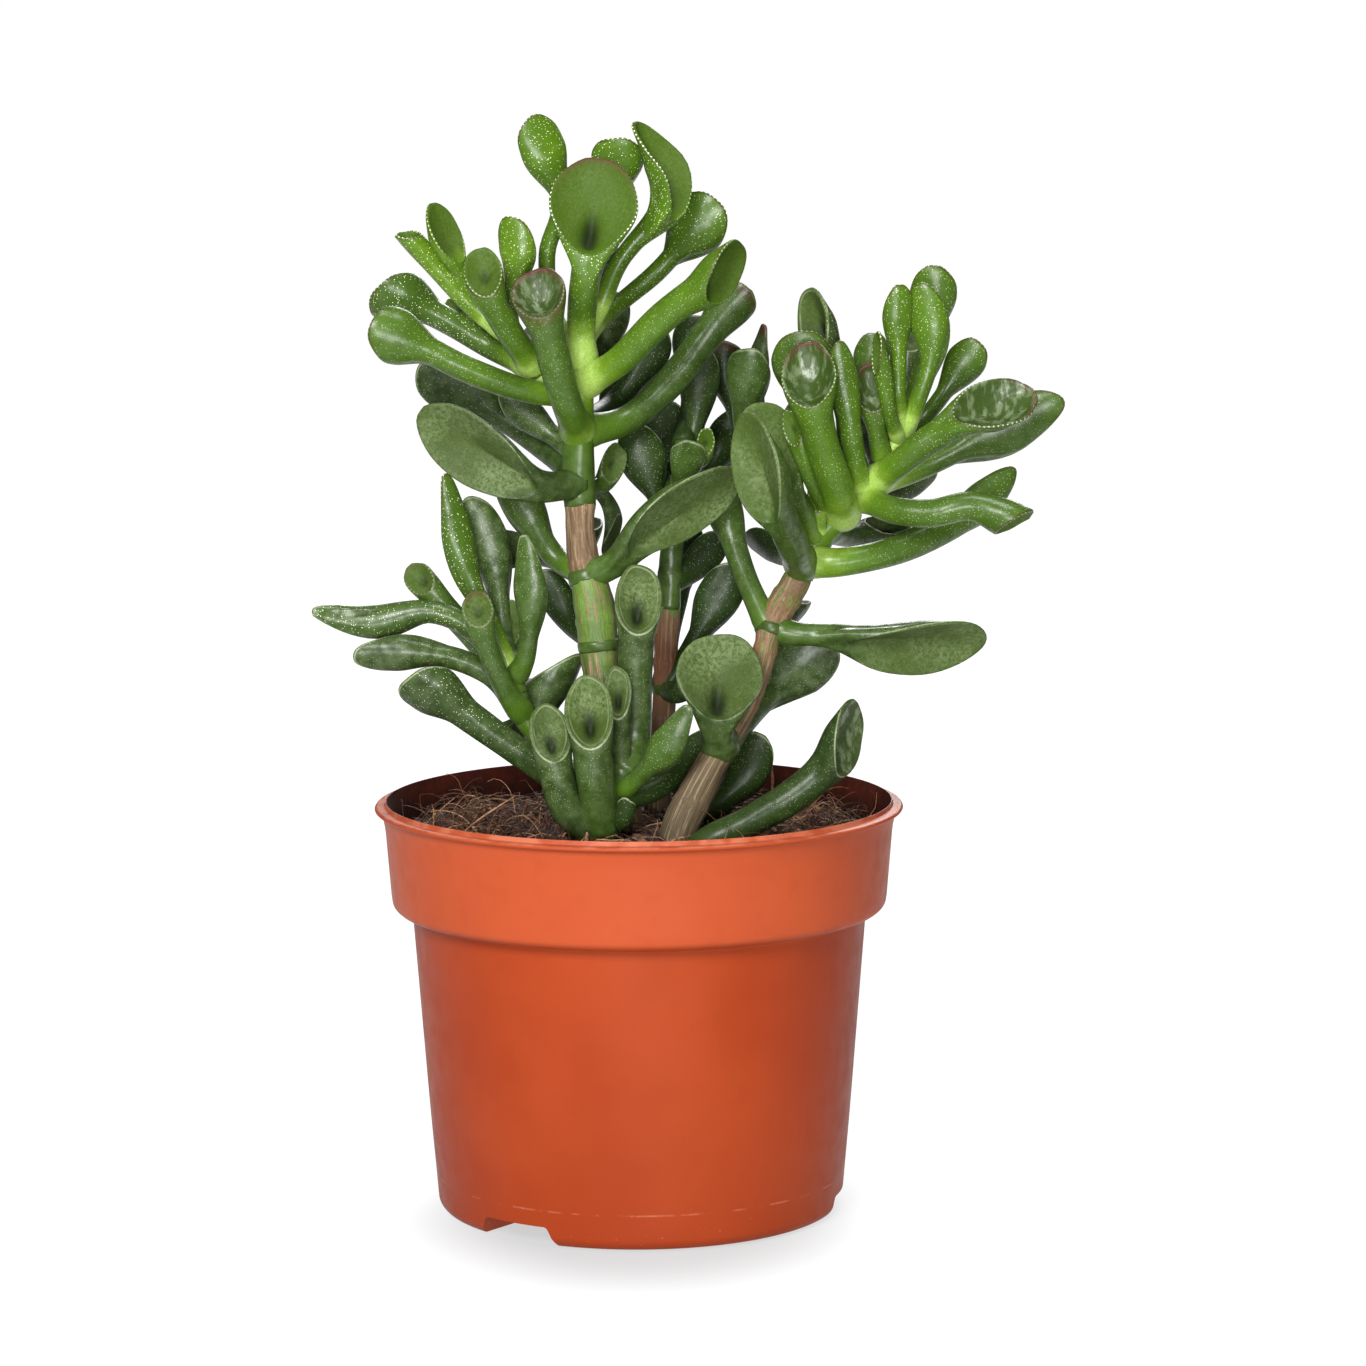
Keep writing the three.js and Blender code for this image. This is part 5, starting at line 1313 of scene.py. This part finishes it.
def soil_material():
    s = Surface("soil_peat", Specular_IOR_Level=0.25)
    grain, broad = s.noise(1.2, 5, 0.65), s.noise(0.15, 3)
    colour = s.layers(
        s.colours(grain, (0.3, srgb(15, 9, 7)), (0.5, srgb(33, 21, 15)), (0.72, srgb(68, 44, 31))),
        (s.ramp(broad, 0.4, 0.7, 0.0, 0.5), srgb(42, 26, 19)))
    return s.finish(Base_Color=colour, Roughness=s.ramp(grain, 0.3, 0.7, 0.95, 0.8),
                    Normal=s.bump(s.noise(1.8, 5, 0.7), 0.9, 0.6 * MM))


def fibre_material():
    s = Surface("soil_fibre", Specular_IOR_Level=0.3)
    grain = s.noise(0.8, 3)
    shades = s.colours(s.field("shade"), (0.0, srgb(32, 19, 14)), (0.4, srgb(66, 40, 27)),
                       (0.75, srgb(104, 68, 46)), (1.0, srgb(176, 136, 100)))
    return s.finish(Base_Color=s.mix(s.ramp(grain, 0.4, 0.7, 0.0, 0.5), shades, srgb(44, 28, 20)),
                    Roughness=s.ramp(grain, 0.3, 0.7, 0.6, 0.85))


# ------------------------ stage, light and camera

FLOOR_GLOW = 0.6, 1.0       # how much the floor glows near the pot and far from it
GLOW_REACH = 36, 84         # the distances from the middle of its shade between which that changes
SHADE_FRONT = 14            # how far in front of the pot the middle of its shade lies
SHADE_NARROWS = 1.3         # how much narrower than deep that shade is
FLOOR_DIM = 0.3             # the share of the glow that lights the part from far in front and beside
DIM_FRONT = -900, -160      # the places on the Y axis between which that share grows to 1
DIM_BESIDE = 260, 600       # the distances to either side between which it shrinks from 1
DIM_WIDENS = 0.22           # how much farther out these lie for each unit behind the pot
FLOOR_SIZE = 400.0          # in metres, so that its edge is out of sight
FLOOR_DROP = 0.0002         # keeps the floor just clear of the foot
SKY_LOW, SKY_HIGH = 0.25, 0.08              # the sky's light near the horizon and overhead
SKY_FRONT = 0.2                             # the share of it that comes from straight in front
SKY_RISE, SKY_DEPTH = (0.03, 0.25), (-0.6, 0.3)     # the Z and Y of a direction between which they change
LIGHT_AIM = (0, 0, 0.13)
# Where each softbox stands, its width and height in metres, and its power in watts.
SOFTBOXES = {
    "key": ((-0.4, -1.2, 0.85), 0.6, 0.5, 31),
    "front": ((0.1, -1.5, 0.12), 0.7, 0.4, 24),
    "top": ((0.25, -0.3, 1.4), 0.4, 0.4, 9),
    "back": ((0.2, 1.3, 0.8), 0.7, 0.5, 15),
}
LENS, SENSOR, CLIP_END = 129.35, 36, 100
CAMERA_DROP, CAMERA_ROLL = 8.04, -0.20      # degrees below level, and round the line of sight


def floor_material():
    s = Surface("floor_paper", Roughness=0.9, Specular_IOR_Level=0.0, Emission_Color=(1, 1, 1, 1))
    paper = s.mix(s.ramp(s.noise(0.02, 3), 0.3, 0.7), srgb(86, 86, 86), srgb(90, 90, 90))
    shaded = s.vector("MULTIPLY", s.vector("ADD", s.mm, (0, SHADE_FRONT, 0)), (SHADE_NARROWS, 1, 1))
    near = s.ramp(s.vector("LENGTH", shaded, output="Value"), *GLOW_REACH, *FLOOR_GLOW)
    x, y, _ = s.split(s.mm)
    front = s.ramp(y, *DIM_FRONT, FLOOR_DIM, 1.0)
    beside = s.ramp(abs(x) - y * DIM_WIDENS, *DIM_BESIDE, 1.0, FLOOR_DIM)
    shown = s.math("MAXIMUM", front * beside, s.seen_directly())
    return s.finish(Base_Color=paper, Emission_Strength=near * shown)


def make_floor():
    half = FLOOR_SIZE / 2
    mesh = bpy.data.meshes.new("floor")
    corners = [(-half, -half, 0), (half, -half, 0), (half, half, 0), (-half, half, 0)]
    mesh.from_pydata(corners, [], [(0, 1, 2, 3)])
    mesh.materials.append(floor_material())
    floor = add_object("floor", mesh)
    floor.location.z = -FLOOR_DROP


def make_sky():
    """A white sky that lights the part most from low behind it."""
    world = bpy.data.worlds.new("studio")
    bpy.context.scene.world = world
    world.use_nodes = True
    sky = Graph(world.node_tree)
    _, y, z = sky.split(sky.node("TexCoord", {}, "Generated"))
    above = sky.ramp(z, *SKY_RISE, SKY_LOW, SKY_HIGH, "LINEAR")
    front = sky.ramp(y, *SKY_DEPTH, SKY_FRONT, 1.0, "LINEAR")
    background = sky.tree.nodes["Background"]
    background.inputs["Color"].default_value = (1, 1, 1, 1)
    sky.put(background.inputs["Strength"], sky.math("MAXIMUM", above * front, sky.seen_directly()))


def make_softbox(name, place, width, height, power):
    light = bpy.data.lights.new(name, "AREA")
    light.shape = "RECTANGLE"
    light.size, light.size_y = width, height
    light.energy = power
    lamp = add_object(name, light)
    lamp.location = place
    lamp.rotation_euler = (Vector(LIGHT_AIM) - Vector(place)).to_track_quat("-Z", "Y").to_euler()


def make_camera():
    camera = bpy.data.cameras.new("camera")
    camera.sensor_width = SENSOR
    camera.lens = LENS
    camera.clip_end = CLIP_END
    view = add_object("camera", camera)
    pitch, roll = math.radians(90 - CAMERA_DROP), math.radians(CAMERA_ROLL)
    view.matrix_world = (Matrix.Translation((EYE_X * MM, -EYE_DISTANCE * MM, EYE_Z * MM))
                         @ Matrix.Rotation(pitch, 4, "X") @ Matrix.Rotation(roll, 4, "Z"))
    bpy.context.scene.camera = view


# ------------------------ build


def main():
    leaf, bark = leaf_material(), bark_material()
    make_pot(pot_material(), pot_inner_material())
    make_soil(soil_material())
    make_litter(fibre_material())
    for name in TRUNKS:
        make_trunk(name, bark)
    for name in STEMS:
        make_spray(name, leaf)
    for name in LEAF_PAIRS:
        make_pair(name, leaf)
    make_floor()
    make_sky()
    for name, settings in SOFTBOXES.items():
        make_softbox(name, *settings)
    make_camera()
    bpy.context.scene.view_settings.view_transform = "Standard"


main()
